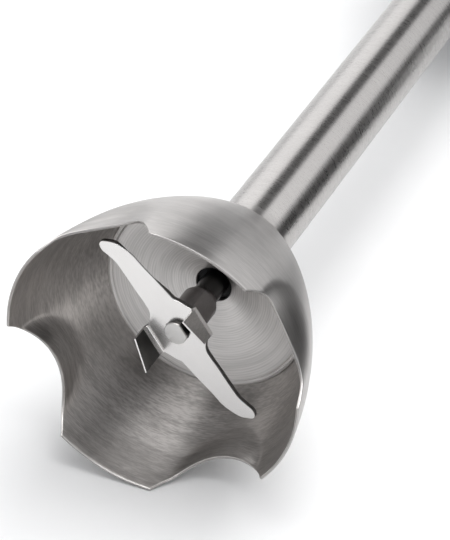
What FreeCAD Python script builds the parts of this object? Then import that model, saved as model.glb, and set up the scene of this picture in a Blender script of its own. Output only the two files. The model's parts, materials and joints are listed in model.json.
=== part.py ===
import FreeCAD, Part
import math
import os
from types import SimpleNamespace

import Sketcher

# Immersion blender, built standing on its bell: Z is the tool's axis, the rim of the
# bell is at Z = 0, and the buttons face -Y.  Each finished piece is then laid down, so
# that the bell opens towards -Y, the handle points to +Y and the buttons look up (+Z).
# Lengths are millimetres and angles are degrees.

doc = FreeCAD.newDocument("immersion_blender")

SIZES = {
    # whole tool
    "total_length": 415.0, "axis_height": 35.0, "fit_gap": 0.05, "body_gap": 0.4,
    # bell: an arched dome of sheet steel with four notches and four pressed flutes
    "rim_radius": 35.0, "bell_wall": 0.85, "dome_radius": 89.0,
    "shoulder_radius": 16.3, "shoulder_height": 43.8, "crown_radius": 60.0,
    "crown_end_radius": 10.3, "crown_end_height": 50.2,
    "neck_blend": 4.0, "neck_height": 53.0, "neck_top": 55.0,
    "notch_radius": 17.1, "notch_depth": 8.7,
    "flute_radius": 40.0, "flute_offset": 70.6, "flute_height": 11.4, "lobe_turn": 20.7,
    # cover disc and bearings behind it
    "disc_radius": 24.45, "disc_height": 29.1, "disc_hole_radius": 4.3,
    "disc_hole_height": 33.9, "disc_wall": 0.8, "disc_bead": 1.2,
    "carrier_bottom": 35.2, "carrier_top": 62.0, "carrier_flange": 8.3,
    "seal_height": 4.0, "seal_radius": 6.2, "bush_wall": 2.0, "bush_length": 15.0,
    # tube and shaft
    "tube_radius": 9.1, "tube_wall": 0.7, "tube_top": 216.0,
    "shaft_radius": 3.0, "stub_bottom": 13.0, "shaft_top": 240.0,
    "shaft_flat": 2.3, "stub_radius": 2.75,
    "groove_width": 0.9, "groove_spare": 0.1, "washer_wide": 1.8, "clip_wide": 1.5, "clip_gap": 2.6,
    "edge_break": 0.5, "guide_height": 125.0, "guide_length": 10.0, "upper_carrier_bottom": 198.0,
    # blade and hub
    "blade_height": 14.4, "blade_thick": 1.1, "blade_turn": 56.4,
    "wing_line": 7.0, "wing_bend": 77.0, "wing_long": 6.7, "wing_short": 4.7,
    "hub_width": 6.9, "hub_top": 28.0, "hub_shoulder": 1.6, "hub_radius": 4.2, "hub_grip": 8.0,
    # arm collar
    "collar_bottom": 192.0, "collar_top": 228.0, "collar_lip": 11.2, "collar_radius": 23.2,
    "spigot_radius": 16.5, "spigot_wall": 2.0, "spigot_top": 244.0,
    "lug_radius": 18.4, "lug_bottom": 238.0, "lug_height": 3.0, "lug_width": 7.2,
    "ring_cord": 0.9, "ring_height": 231.5,
    # nose of the motor body
    "nose_radius": 24.0, "socket_clear": 0.4, "socket_top": 252.0, "socket_roof": 2.0,
    "ledge_height": 4.6, "socket_radius": 21.4, "lug_turn": 30.0, "trim_chamfer": 0.6,
    # coupling
    "wing_half": 7.5, "dog_width": 3.2, "boss_radius": 5.0, "boss_bottom": 222.0,
    "wing_bottom": 234.0, "wing_top": 243.0,
    "cup_radius": 11.0, "cup_wall": 3.0, "cup_bottom": 236.5, "cup_floor": 248.0,
    "cup_top": 258.0, "dog_inner": 5.5,
    # motor
    "motor_shaft_radius": 2.5, "motor_shaft_bottom": 249.0, "motor_shaft_top": 351.0,
    "motor_radius": 24.0, "yoke_wall": 4.2, "bore_radius": 14.4, "air_gap": 0.6,
    "stack_bottom": 287.0, "stack_top": 313.0, "pole_half_width": 9.0,
    "coil_wall": 3.0, "coil_overhang": 4.0,
    "front_hub_bottom": 260.0, "front_web": 268.0, "web_thick": 3.0,
    "rear_web": 338.0, "rear_hub_top": 349.0, "hub_wall": 2.5,
    "bearing_radius": 8.0, "bearing_height": 6.0, "bearing_gap": 0.6, "shaft_clear": 1.2,
    "fan_bottom": 273.0, "fan_height": 6.0, "fan_radius": 18.6, "fan_hub": 2.5, "fan_plate": 1.2,
    "fan_blade": 1.0, "slot_deep": 4.2, "slot_half": 0.9, "bar_gap_deep": 0.6, "bar_gap_half": 0.2,
    "winding_radius": 12.4, "winding_height": 6.4,
    "commutator_bottom": 323.0, "commutator_height": 12.0, "commutator_radius": 8.0,
    "brush_height": 329.0, "brush_width": 5.0, "brush_depth": 6.4, "holder_wall": 0.6,
    "window_clear": 0.2, "holder_start": 9.6, "holder_end": 23.4, "carbon_end": 16.0,
    "brush_spring_radius": 1.9, "brush_spring_wire": 0.3, "brush_spring_length": 5.8,
    "damper_wall": 4.0, "damper_height": 5.0, "vent_hole_radius": 3.0, "vent_hole_away": 15.6,
    # handle
    "housing_bottom": 233.0, "housing_top": 400.0, "housing_wall": 2.2,
    "grip_half_width": 30.0, "grip_half_depth": 33.6, "grip_offset": 2.0,
    "panel_proud": 1.0, "panel_half_width": 13.0, "panel_bottom": 288.0, "panel_top": 396.0,
    "cap_height": 11.0, "cap_wall": 2.2, "seat_clear": 0.4,
    "vent_bottom": 252.0, "vent_step": 5.0, "vent_width": 2.0, "vent_half_length": 9.0,
    # controls
    "board_front": 12.0, "board_thick": 1.6, "board_half_width": 17.0,
    "board_bottom": 354.0, "board_top": 394.0,
    "power_height": 360.0, "power_half_length": 11.0, "turbo_height": 385.0,
    "turbo_half_length": 8.5, "button_half_width": 7.5, "button_front": 34.6,
    "button_flange": 25.4, "flange_thick": 1.4, "flange_step": 1.3, "button_edge": 1.4,
    "stem_half": 1.5, "button_clear": 0.35,
    "spring_radius": 2.2, "spring_wire": 0.35, "spring_side": 6.3,
    "switch_top": 19.0, "switch_half_width": 3.6, "switch_half_length": 5.5,
    "stem_end": 21.7, "plunger_end": 16.2, "plunger_half": 1.2, "well_half": 1.4, "well_floor": 13.2,
    "choke_radius": 3.5, "choke_length": 14.0, "choke_height": 379.0,
    "dial_radius": 13.0, "dial_bottom": 406.6, "dial_offset": 9.0,
    "grip_groove": 1.1, "dial_edge": 1.4,
    "stem_radius": 3.0, "control_radius": 8.0, "control_bottom": 395.6,
    "inlet_radius": 4.5, "inlet_offset": 17.0, "inlet_wall": 1.6,
    "bush_proud": 1.2, "bush_wide": 1.2, "bush_flange": 1.8, "pointer_half": 0.6, "pointer_deep": 0.5,
    "pointer_inner": 4.0, "pointer_margin": 2.0,
    # fasteners
    "screw_radius": 1.3, "screw_head": 2.7, "head_height": 1.8, "boss_outer": 2.5,
    "screw_end": 9.0, "motor_head": 2.0, "cross_half": 1.4, "cross_width": 0.6,
    "cross_depth": 0.7, "head_clear": 0.15, "well_wall": 1.35, "well_base": 1.6, "bore_spare": 0.5,
    "back_screws": 28.0, "low_screw": 300.0, "middle_screw": 344.0, "high_screw": 388.0,
    "low_head": 12.5, "middle_head": 13.0, "high_head": 9.5,
    "front_screw": -17.3, "front_screw_height": 346.5, "front_head": 19.5,
}
VENTS = 6
GRIP_GROOVES = 24
COMMUTATOR_BARS = 24
CORE_SLOTS = 12
FAN_BLADES = 9
LUGS = 3
SPRING_TURNS = 4.5
# an arc that closes a half circle is drawn with a radius this much larger than half its width
HALF_CIRCLE = 1.0005


class Size:
    """A length or angle that carries both its value and the expression that gives it."""

    def __init__(self, value, text):
        self.value = value
        self.text = text

    def joined(self, other, sign, value):
        return Size(value, "(" + self.text + " " + sign + " " + other.text + ")")

    def __add__(self, other):
        other = size_of(other)
        return self.joined(other, "+", self.value + other.value)

    def __sub__(self, other):
        other = size_of(other)
        return self.joined(other, "-", self.value - other.value)

    def __mul__(self, other):
        other = size_of(other)
        return self.joined(other, "*", self.value * other.value)

    def __truediv__(self, other):
        other = size_of(other)
        return self.joined(other, "/", self.value / other.value)

    def __radd__(self, other):
        return size_of(other) + self

    def __rsub__(self, other):
        return size_of(other) - self

    def __rmul__(self, other):
        return size_of(other) * self

    def __neg__(self):
        return size_of(0) - self


def size_of(value):
    return value if isinstance(value, Size) else Size(float(value), "(" + str(float(value)) + ")")


def fill_sheet():
    """Write every driving size to the sheet, and hand back one Size for each alias."""
    sheet = doc.addObject("Spreadsheet::Sheet", "Sizes")
    for row, (name, value) in enumerate(SIZES.items(), start=1):
        sheet.set("A" + str(row), name.replace("_", " "))
        sheet.set("B" + str(row), str(value))
        sheet.setAlias("B" + str(row), name)
    doc.recompute()
    return SimpleNamespace(**{name: Size(value, "Sizes." + name) for name, value in SIZES.items()})


d = fill_sheet()


def bind(item, path, size):
    """Tie one property of an object to the sheet."""
    size = size_of(size)
    if "Sizes." in size.text:
        item.setExpression(path, size.text)


# ---------------------------------------------------------------- sketches and features


def arc_between(start, end, radius):
    """Arc from start to end: anticlockwise for a positive radius, clockwise for a negative."""
    chord = end.sub(start)
    reach = math.sqrt(radius * radius - chord.Length * chord.Length / 4.0)
    left = FreeCAD.Vector(-chord.y, chord.x, 0).normalize()
    centre = (start + end) * 0.5 + left * math.copysign(reach, radius)
    first, last = (start, end) if radius > 0 else (end, start)
    first_angle = math.atan2(first.y - centre.y, first.x - centre.x)
    last_angle = math.atan2(last.y - centre.y, last.x - centre.x)
    circle = Part.Circle(centre, FreeCAD.Vector(0, 0, 1), abs(radius))
    return Part.ArcOfCircle(circle, first_angle, last_angle)


def draw_outline(sketch, outline):
    """Closed outline of corners (u, v), or (u, v, radius) where the next edge is an arc."""
    corners = [tuple(size_of(entry) for entry in corner) for corner in outline]
    points = [FreeCAD.Vector(corner[0].value, corner[1].value, 0) for corner in corners]
    edges, ends = [], []
    for index, corner in enumerate(corners):
        start, end = points[index], points[(index + 1) % len(points)]
        if len(corner) == 3:
            edges.append(arc_between(start, end, corner[2].value))
            ends.append((1, 2) if corner[2].value > 0 else (2, 1))
        else:
            edges.append(Part.LineSegment(start, end))
            ends.append((1, 2))
    first = sketch.addGeometry(edges, False)[0]
    rules, bound = [], []
    for index, corner in enumerate(corners):
        following = (index + 1) % len(corners)
        edge = first + index
        rules.append(Sketcher.Constraint("Coincident", edge, ends[index][1],
                                         first + following, ends[following][0]))
        for kind, size in (("DistanceX", corner[0]), ("DistanceY", corner[1])):
            rules.append(Sketcher.Constraint(kind, -1, 1, edge, ends[index][0], size.value))
            bound.append((len(rules) - 1, size))
        if len(corner) == 3:
            radius = corner[2] if corner[2].value > 0 else -corner[2]
            rules.append(Sketcher.Constraint("Radius", edge, radius.value))
            bound.append((len(rules) - 1, radius))
    add_rules(sketch, rules, bound)


def draw_circle(sketch, across, up, radius):
    centre = FreeCAD.Vector(size_of(across).value, size_of(up).value, 0)
    edge = sketch.addGeometry(Part.Circle(centre, FreeCAD.Vector(0, 0, 1), size_of(radius).value), False)
    rules, bound = [], []
    for kind, size in (("DistanceX", across), ("DistanceY", up)):
        size = size_of(size)
        rules.append(Sketcher.Constraint(kind, -1, 1, edge, 3, size.value))
        bound.append((len(rules) - 1, size))
    rules.append(Sketcher.Constraint("Radius", edge, size_of(radius).value))
    bound.append((len(rules) - 1, size_of(radius)))
    add_rules(sketch, rules, bound)


def add_rules(sketch, rules, bound):
    offset = sketch.ConstraintCount
    sketch.addConstraint(rules)
    for index, size in bound:
        bind(sketch, "Constraints[" + str(offset + index) + "]", size)


def new_body(label):
    body = doc.addObject("PartDesign::Body", label)
    body.Label = label
    body.AllowCompound = True
    return body


def sketch_on(body, role, name, lift=0):
    """Empty sketch on one of the body's origin planes, lifted along that plane's normal."""
    plane = next(item for item in body.Origin.OriginFeatures if item.Role == role)
    sketch = body.newObject("Sketcher::SketchObject", name)
    sketch.AttachmentSupport = [(plane, "")]
    sketch.MapMode = "FlatFace"
    lift = size_of(lift)
    sketch.AttachmentOffset = FreeCAD.Placement(FreeCAD.Vector(0, 0, lift.value), FreeCAD.Rotation())
    bind(sketch, "AttachmentOffset.Base.z", lift)
    return sketch


def turned(body, outline, kind="Revolution", angle=360):
    """Revolve an outline of (radius, height) corners about the tool's axis."""
    sketch = sketch_on(body, "XZ_Plane", body.Label + "_profile")
    draw_outline(sketch, outline)
    feature = body.newObject("PartDesign::" + kind, body.Label + "_" + kind.lower())
    feature.Profile = sketch
    feature.ReferenceAxis = (sketch, ["V_Axis"])
    feature.Angle = angle
    sketch.Visibility = False
    return feature


def ring(body, inner, outer, bottom, top):
    return turned(body, [(inner, bottom), (outer, bottom), (outer, top), (inner, top)])


def raised(body, shapes, bottom, length, kind="Pad", role="XY_Plane", flip=False):
    """Pad or pocket outlines, or circles given as (across, up, radius), from an origin plane."""
    sketch = sketch_on(body, role, body.Label + "_" + kind.lower() + "_sketch", bottom)
    for shape in shapes:
        if isinstance(shape, tuple):
            draw_circle(sketch, *shape)
        else:
            draw_outline(sketch, shape)
    feature = body.newObject("PartDesign::" + kind, body.Label + "_" + kind.lower())
    feature.Profile = sketch
    feature.Length = size_of(length).value
    bind(feature, "Length", length)
    feature.Reversed = flip
    sketch.Visibility = False
    return feature


def repeat_around(body, feature, count):
    """Repeat a feature evenly about the tool's axis."""
    pattern = body.newObject("PartDesign::PolarPattern", body.Label + "_pattern")
    pattern.Originals = [feature]
    axis = next(item for item in body.Origin.OriginFeatures if item.Role == "Z_Axis")
    pattern.Axis = (axis, [""])
    pattern.Angle = 360
    pattern.Occurrences = count
    body.Tip = pattern
    return pattern


def rectangle(left, right, bottom, top):
    return [(left, bottom), (right, bottom), (right, top), (left, top)]


def turned_corners(corners, angle):
    """Corners turned about the axis by a Size angle, kept as expressions."""
    radians = math.radians(angle.value)
    cosine = Size(math.cos(radians), "cos(" + angle.text + " * 1deg)")
    sine = Size(math.sin(radians), "sin(" + angle.text + " * 1deg)")
    result = []
    for corner in corners:
        across, up = size_of(corner[0]), size_of(corner[1])
        spot = (across * cosine - up * sine, across * sine + up * cosine)
        result.append(spot + tuple(corner[2:]))
    return result


# ---------------------------------------------------------------- primitives and booleans


def move(item, across=0, depth=0, height=0, rotation=None):
    spot = [size_of(across), size_of(depth), size_of(height)]
    item.Placement = FreeCAD.Placement(FreeCAD.Vector(*[size.value for size in spot]),
                                       rotation or FreeCAD.Rotation())
    for axis, size in zip("xyz", spot):
        bind(item, "Placement.Base." + axis, size)
    return item


def box(name, across, depth, height):
    """Box between two limits on each axis."""
    item = doc.addObject("Part::Box", name)
    for side, (low, high) in zip(("Length", "Width", "Height"), (across, depth, height)):
        span = size_of(high) - low
        setattr(item, side, span.value)
        bind(item, side, span)
    return move(item, across[0], depth[0], height[0])


TO_X = FreeCAD.Rotation(FreeCAD.Vector(0, 1, 0), 90)
TO_BACK = FreeCAD.Rotation(FreeCAD.Vector(1, 0, 0), -90)


def cylinder(name, radius, length, across=0, depth=0, height=0, rotation=None):
    item = doc.addObject("Part::Cylinder", name)
    item.Radius = size_of(radius).value
    item.Height = size_of(length).value
    bind(item, "Radius", radius)
    bind(item, "Height", length)
    return move(item, across, depth, height, rotation)


def sphere(name, radius, across, depth, height):
    item = doc.addObject("Part::Sphere", name)
    item.Radius = size_of(radius).value
    bind(item, "Radius", radius)
    return move(item, across, depth, height)


def cut(label, base, tool):
    item = doc.addObject("Part::Cut", label)
    item.Base = base
    item.Tool = tool
    return item


def fuse(label, pieces):
    item = doc.addObject("Part::MultiFuse", label)
    item.Shapes = pieces
    return item


def common(label, first, second):
    item = doc.addObject("Part::Common", label)
    item.Base = first
    item.Tool = second
    return item


def group(label, pieces):
    item = doc.addObject("Part::Compound", label)
    item.Links = pieces
    return item


NODES = []


def finish(item, depth=0):
    """Lay a finished piece down and list it; depth is its own distance behind the axis."""
    item.Placement = FreeCAD.Placement(FreeCAD.Vector(), TO_BACK)
    bind(item, "Placement.Base.y", -d.total_length / 2)
    bind(item, "Placement.Base.z", d.axis_height - depth)
    NODES.append(item)


# ---------------------------------------------------------------- bell and cover disc

# The dome's outline leans this far from the axis at the rim and at the shoulder, so the
# inside of the sheet is set off along these directions (radial part, axial part).
RIM_NORMAL = (1.0, 0.0)
SHOULDER_NORMAL = (0.78, 0.62)
NECK_NORMAL = (0.7, 0.7)


def dome_outline(inset):
    """Outline of the dome, set in by a sheet thickness, closed along the axis."""
    return [
        (0, 0),
        (d.rim_radius - inset * RIM_NORMAL[0], 0, d.dome_radius - inset),
        (d.shoulder_radius - inset * SHOULDER_NORMAL[0],
         d.shoulder_height - inset * SHOULDER_NORMAL[1], d.crown_radius - inset),
        (d.crown_end_radius - inset * NECK_NORMAL[0],
         d.crown_end_height - inset * NECK_NORMAL[1], -(d.neck_blend + inset)),
        (d.tube_radius - inset, d.neck_height - inset * NECK_NORMAL[1]),
        (d.tube_radius - inset, d.neck_top),
        (0, d.neck_top),
    ]


def fluted_dome(name, inset):
    """Solid dome with four shallow hollows pressed in from outside."""
    dome = new_body(name + "_dome")
    turned(dome, dome_outline(inset))
    presses = []
    for quarter in range(4):
        angle = d.lobe_turn + 45 + 90 * quarter
        turn = math.radians(angle.value)
        cosine = Size(math.cos(turn), "cos(" + angle.text + " * 1deg)")
        sine = Size(math.sin(turn), "sin(" + angle.text + " * 1deg)")
        presses.append(sphere(name + "_press_" + str(quarter), d.flute_radius + inset,
                              d.flute_offset * cosine, d.flute_offset * sine, d.flute_height))
    return cut(name, dome, fuse(name + "_presses", presses))


def make_bell():
    shell = cut("bell_shell", fluted_dome("bell_outside", 0), fluted_dome("bell_inside", d.bell_wall))
    notches = []
    reach = d.rim_radius + 5
    for quarter in range(2):
        angle = d.lobe_turn + 45 + 90 * quarter
        turn = math.radians(angle.value)
        cosine = Size(math.cos(turn), "cos(" + angle.text + " * 1deg)")
        sine = Size(math.sin(turn), "sin(" + angle.text + " * 1deg)")
        lying = FreeCAD.Rotation(FreeCAD.Vector(0, 0, 1), angle.value).multiply(TO_X)
        notches.append(cylinder("bell_notch_" + str(quarter), d.notch_radius, reach * 2,
                                -(reach * cosine), -(reach * sine),
                                d.notch_depth - d.notch_radius, lying))
    finish(cut("bell", shell, fuse("bell_notches", notches)))


def make_cover_disc():
    """Shallow cone of sheet that closes the dome behind the blade, with a rolled bead."""
    disc = new_body("cover_disc")
    bead_edge = d.disc_radius - d.disc_bead
    turned(disc, [
        (d.disc_hole_radius, d.disc_hole_height),
        (bead_edge, d.disc_height + 0.25),
        (bead_edge, d.disc_height - 0.15, -(d.disc_bead / 2 + 0.02)),
        (d.disc_radius, d.disc_height - 0.15),
        (d.disc_radius, d.disc_height + 0.75),
        (bead_edge, d.disc_height + 0.25 + d.disc_wall),
        (d.disc_hole_radius, d.disc_hole_height + d.disc_wall),
    ])
    finish(disc)


# ---------------------------------------------------------------- arm tube and its bearings


def make_arm_tube():
    tube = new_body("arm_tube")
    ring(tube, d.tube_radius - d.tube_wall, d.tube_radius, d.neck_top, d.tube_top)
    finish(tube)


def make_bearing_carrier():
    """Moulded sleeve in the neck of the bell, which holds the seal and the lower bush."""
    carrier = new_body("bearing_carrier")
    seat = d.shaft_radius + d.bush_wall + d.fit_gap * 2
    shoulder = d.carrier_bottom + d.seal_height + 1
    turned(carrier, [
        (d.seal_radius + d.fit_gap, d.carrier_bottom),
        (d.carrier_flange, d.carrier_bottom),
        (d.tube_radius - d.tube_wall - 0.2, d.neck_height),
        (d.tube_radius - d.tube_wall - 0.2, d.carrier_top),
        (seat, d.carrier_top),
        (seat, shoulder),
        (d.seal_radius + d.fit_gap, shoulder),
    ])
    finish(carrier)
    seal = new_body("shaft_seal")
    turned(seal, [
        (d.shaft_radius + d.fit_gap, d.carrier_bottom + 0.4),
        (d.shaft_radius + 0.9, d.carrier_bottom + 0.1),
        (d.seal_radius, d.carrier_bottom + 0.1),
        (d.seal_radius, d.carrier_bottom + d.seal_height),
        (d.shaft_radius + 2.4, d.carrier_bottom + d.seal_height),
        (d.shaft_radius + 2.4, d.carrier_bottom + 1.6),
        (d.shaft_radius + d.fit_gap, d.carrier_bottom + 1.2),
    ])
    finish(seal)
    bush = new_body("lower_bush")
    ring(bush, d.shaft_radius + d.fit_gap, d.shaft_radius + d.bush_wall + d.fit_gap,
         shoulder + 0.1, shoulder + d.bush_length)
    finish(bush)
    return shoulder


def make_shaft_guides():
    """Plain guide half way up the tube, and the carrier and bush at its top."""
    inside = d.tube_radius - d.tube_wall - d.fit_gap
    guide = new_body("shaft_guide")
    turned(guide, [
        (d.shaft_radius + d.fit_gap, d.guide_height),
        (inside - 1.2, d.guide_height),
        (inside, d.guide_height + 1.2),
        (inside, d.guide_height + d.guide_length - 1.2),
        (inside - 1.2, d.guide_height + d.guide_length),
        (d.shaft_radius + d.fit_gap, d.guide_height + d.guide_length),
    ])
    finish(guide)
    carrier = new_body("upper_carrier")
    seat = d.shaft_radius + d.bush_wall + d.fit_gap * 2
    ring(carrier, seat, inside, d.upper_carrier_bottom, d.tube_top)
    finish(carrier)
    bush = new_body("upper_bush")
    ring(bush, d.shaft_radius + d.fit_gap, seat - d.fit_gap, d.upper_carrier_bottom + 4, d.tube_top)
    finish(bush)


# ---------------------------------------------------------------- cutter: shaft, hub, blade


def make_drive_shaft(shoulder):
    shaft = new_body("drive_shaft")
    groove_height = shoulder + d.bush_length + 1.9
    top_groove = d.shaft_radius - 0.5
    stub_end = d.blade_height + d.blade_thick + d.hub_grip
    turned(shaft, [
        (0, d.stub_bottom),
        (d.stub_radius - 0.3, d.stub_bottom),
        (d.stub_radius, d.stub_bottom + 0.3),
        (d.stub_radius, stub_end),
        (d.shaft_radius, stub_end + 0.25),
        (d.shaft_radius, groove_height),
        (top_groove, groove_height),
        (top_groove, groove_height + d.groove_width),
        (d.shaft_radius, groove_height + d.groove_width),
        (d.shaft_radius, d.shaft_top - d.edge_break),
        (d.shaft_radius - d.edge_break, d.shaft_top),
        (0, d.shaft_top),
    ])
    # two flats on the stub, square to the blade's long arms
    for side in (1, -1):
        reach = d.stub_radius * 1.5
        corners = rectangle(side * d.shaft_flat, side * (d.stub_radius + 1), -reach, reach)
        raised(shaft, [turned_corners(corners, d.blade_turn)], d.stub_bottom - 1,
               stub_end - d.stub_bottom + 1, "Pocket", flip=True)
    finish(shaft)
    washer = new_body("thrust_washer")
    ring(washer, d.shaft_radius + d.fit_gap, d.shaft_radius + d.washer_wide,
         groove_height - d.groove_width, groove_height - d.groove_spare)
    finish(washer)
    clip = new_body("retaining_clip")
    outer = d.shaft_radius + d.clip_wide
    ring(clip, top_groove + d.fit_gap, outer, groove_height + d.groove_spare,
         groove_height + d.groove_width - d.groove_spare)
    half = d.clip_gap / 2
    gap = rectangle(d.shaft_radius - d.clip_wide, outer + 1, -half, half)
    raised(clip, [gap], groove_height, d.groove_width + 1, "Pocket", flip=True)
    finish(clip)


def blade_outline():
    """Half of the blade's outline, from one wing line to the other, in the blade's own axes.

    The long arm runs towards -X, bends gently and ends in a rounded hook, which makes the
    whole blade an S.  The other half is the same outline turned half round.
    """
    return [
        (-3.4, d.wing_line),
        (-5.0, 4.9),
        (-6.6, 3.95),
        (-13.0, 4.15),
        (-19.6, 4.45, 14.0),
        (-23.8, 6.2, 1.4),
        (-25.1, 5.6, 3.0),
        (-25.2, 3.4, 4.6),
        (-21.8, 0.15),
        (-16.6, -1.35),
        (-11.0, -2.75),
        (-7.2, -3.6),
        (-6.0, -4.9),
        (-3.9, -d.wing_line),
    ]


def make_blade():
    blade = new_body("blade_plate")
    half = blade_outline()
    other = [(-size_of(corner[0]), -size_of(corner[1])) + tuple(corner[2:]) for corner in half]
    raised(blade, [turned_corners(half + other, d.blade_turn)], d.blade_height, d.blade_thick)
    # the double-D hole that drives the blade
    flat, bow = d.shaft_flat + d.fit_gap, 1.55
    hole = [(flat, -bow), (flat, bow, d.stub_radius + d.fit_gap * 2),
            (-flat, bow), (-flat, -bow, d.stub_radius + d.fit_gap * 2)]
    raised(blade, [turned_corners(hole, d.blade_turn)], d.blade_height - 1,
           d.blade_thick + 2, "Pocket", flip=True)
    wings = [blade]
    for side in (0, 180):
        wing = new_body("blade_wing_" + str(side))
        outline = [(-3.4, 0), (3.9, 0), (4.4, d.wing_long), (-3.3, d.wing_short)]
        raised(wing, [outline], 0, d.blade_thick)
        tilt = FreeCAD.Rotation(FreeCAD.Vector(1, 0, 0), -d.wing_bend.value)
        spin = FreeCAD.Rotation(FreeCAD.Vector(0, 0, 1), d.blade_turn.value + side)
        start = spin.multVec(FreeCAD.Vector(0, d.wing_line.value - 0.4, d.blade_height.value))
        wing.Placement = FreeCAD.Placement(start, spin.multiply(tilt))
        wings.append(wing)
    finish(fuse("blade", wings))


def make_hub():
    """Dark block that carries the blade: flats on two sides and a rounded shoulder."""
    hub = new_body("blade_hub")
    bottom = d.blade_height + d.blade_thick + 0.02
    half = d.hub_width / 2
    grip_end = d.blade_height + d.blade_thick + d.hub_grip
    turned(hub, [
        (d.stub_radius + d.fit_gap, bottom),
        (d.hub_radius, bottom),
        (d.hub_radius, d.hub_top - d.hub_shoulder, d.hub_shoulder * 1.06),
        (d.shaft_radius + 0.7, d.hub_top),
        (d.shaft_radius + d.fit_gap, d.hub_top),
        (d.shaft_radius + d.fit_gap, grip_end),
        (d.stub_radius + d.fit_gap, grip_end),
    ])
    reach = d.hub_radius * 2
    for side in (1, -1):
        corners = rectangle(-reach, reach, side * half, side * reach)
        raised(hub, [turned_corners(corners, d.blade_turn)], bottom - 1,
               d.hub_top - d.hub_shoulder - bottom, "Pocket", flip=True)
    finish(hub)


def make_driven_coupling():
    """Moulded dog on the top of the shaft, with two wings."""
    dog = new_body("driven_coupling")
    turned(dog, [
        (0, d.shaft_top + d.fit_gap),
        (d.shaft_radius + d.fit_gap / 2, d.shaft_top + d.fit_gap),
        (d.shaft_radius + d.fit_gap / 2, d.boss_bottom),
        (d.boss_radius, d.boss_bottom),
        (d.boss_radius, d.wing_top),
        (d.boss_radius - 1.2, d.wing_top + 1.2),
        (0, d.wing_top + 1.2),
    ])
    half = d.dog_width / 2
    for side in (1, -1):
        raised(dog, [rectangle(side * (d.boss_radius - 1), side * d.wing_half, -half, half)],
               d.wing_bottom, d.wing_top - d.wing_bottom)
    finish(dog)


# ---------------------------------------------------------------- arm collar


def make_collar():
    """Moulded collar that flares from the tube to the motor body and ends in a spigot."""
    collar = new_body("arm_collar")
    bore = d.tube_radius + d.fit_gap
    inside = d.spigot_radius - d.spigot_wall
    groove = d.spigot_radius - d.ring_cord * 1.2
    turned(collar, [
        (bore, d.collar_bottom),
        (d.collar_lip, d.collar_bottom),
        (d.collar_lip + 0.4, d.collar_bottom + 5, -60),
        (d.collar_radius, d.collar_top - 4),
        (d.collar_radius, d.collar_top),
        (d.spigot_radius, d.collar_top),
        (d.spigot_radius, d.ring_height - d.ring_cord),
        (groove, d.ring_height - d.ring_cord),
        (groove, d.ring_height + d.ring_cord),
        (d.spigot_radius, d.ring_height + d.ring_cord),
        (d.spigot_radius, d.spigot_top),
        (inside, d.spigot_top),
        (inside, d.tube_top + 2),
        (d.tube_radius - 0.6, d.tube_top + 2),
        (d.tube_radius - 0.6, d.tube_top + d.fit_gap),
        (bore, d.tube_top + d.fit_gap),
    ])
    half = d.lug_width / 2
    lug = raised(collar, [rectangle(inside + 0.6, d.lug_radius, -half, half)],
                 d.lug_bottom, d.lug_height)
    repeat_around(collar, lug, LUGS)
    finish(collar)
    seal = new_body("collar_seal")
    sketch = sketch_on(seal, "XZ_Plane", "seal_section")
    draw_circle(sketch, groove + d.ring_cord + 0.02, d.ring_height, d.ring_cord - 0.05)
    feature = seal.newObject("PartDesign::Revolution", "seal_ring")
    feature.Profile = sketch
    feature.ReferenceAxis = (sketch, ["V_Axis"])
    feature.Angle = 360
    finish(seal)


# ---------------------------------------------------------------- nose of the motor body


def make_nose():
    trim = new_body("trim_ring")
    low = d.collar_top + d.body_gap
    socket = d.spigot_radius + d.socket_clear + 0.6
    turned(trim, [
        (socket, low),
        (d.nose_radius - d.trim_chamfer, low),
        (d.nose_radius, low + d.trim_chamfer),
        (d.nose_radius, d.housing_bottom),
        (socket, d.housing_bottom),
    ])
    finish(trim)
    nose = new_body("nose_socket")
    ledge_top = d.housing_bottom + d.ledge_height
    bore = d.spigot_radius + d.socket_clear
    recess = d.lug_radius + 0.5
    turned(nose, [
        (bore, d.housing_bottom + d.fit_gap),
        (d.socket_radius, d.housing_bottom + d.fit_gap),
        (d.socket_radius, d.socket_top),
        (d.cup_radius + 1.5, d.socket_top),
        (d.cup_radius + 1.5, d.socket_top - d.socket_roof),
        (recess, d.socket_top - d.socket_roof),
        (recess, ledge_top),
        (bore, ledge_top),
    ])
    # the three slots in the ledge that let the lugs in once the arm is turned
    half = d.lug_width / 2 + 0.7
    slot = rectangle(bore - 1, recess, -half, half)
    entry = raised(nose, [turned_corners(slot, d.lug_turn)], d.housing_bottom - 1,
                   d.ledge_height + 1.5, "Pocket", flip=True)
    repeat_around(nose, entry, LUGS)
    finish(nose)


def make_drive_coupling():
    """Cup on the motor shaft: two inner dogs push the wings of the arm's coupling."""
    cup = new_body("drive_coupling")
    inside = d.cup_radius - d.cup_wall
    turned(cup, [
        (inside, d.cup_bottom),
        (d.cup_radius, d.cup_bottom),
        (d.cup_radius, d.cup_floor + 3),
        (d.cup_radius - 4, d.cup_top),
        (d.motor_shaft_radius + d.fit_gap / 2, d.cup_top),
        (d.motor_shaft_radius + d.fit_gap / 2, d.motor_shaft_bottom - d.fit_gap),
        (0, d.motor_shaft_bottom - d.fit_gap),
        (0, d.cup_floor - 1),
        (inside, d.cup_floor - 1),
    ])
    half = d.dog_width / 2
    for side in (1, -1):
        raised(cup, [rectangle(-half, half, side * d.dog_inner, side * (inside + 1))],
               d.cup_bottom, d.cup_floor - d.cup_bottom)
    finish(cup)


# ---------------------------------------------------------------- motor


def make_motor_shaft():
    shaft = new_body("motor_shaft")
    radius = d.motor_shaft_radius
    turned(shaft, [
        (0, d.motor_shaft_bottom), (radius, d.motor_shaft_bottom),
        (radius, d.motor_shaft_top - d.edge_break), (radius - d.edge_break, d.motor_shaft_top),
        (0, d.motor_shaft_top),
    ])
    finish(shaft)


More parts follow.
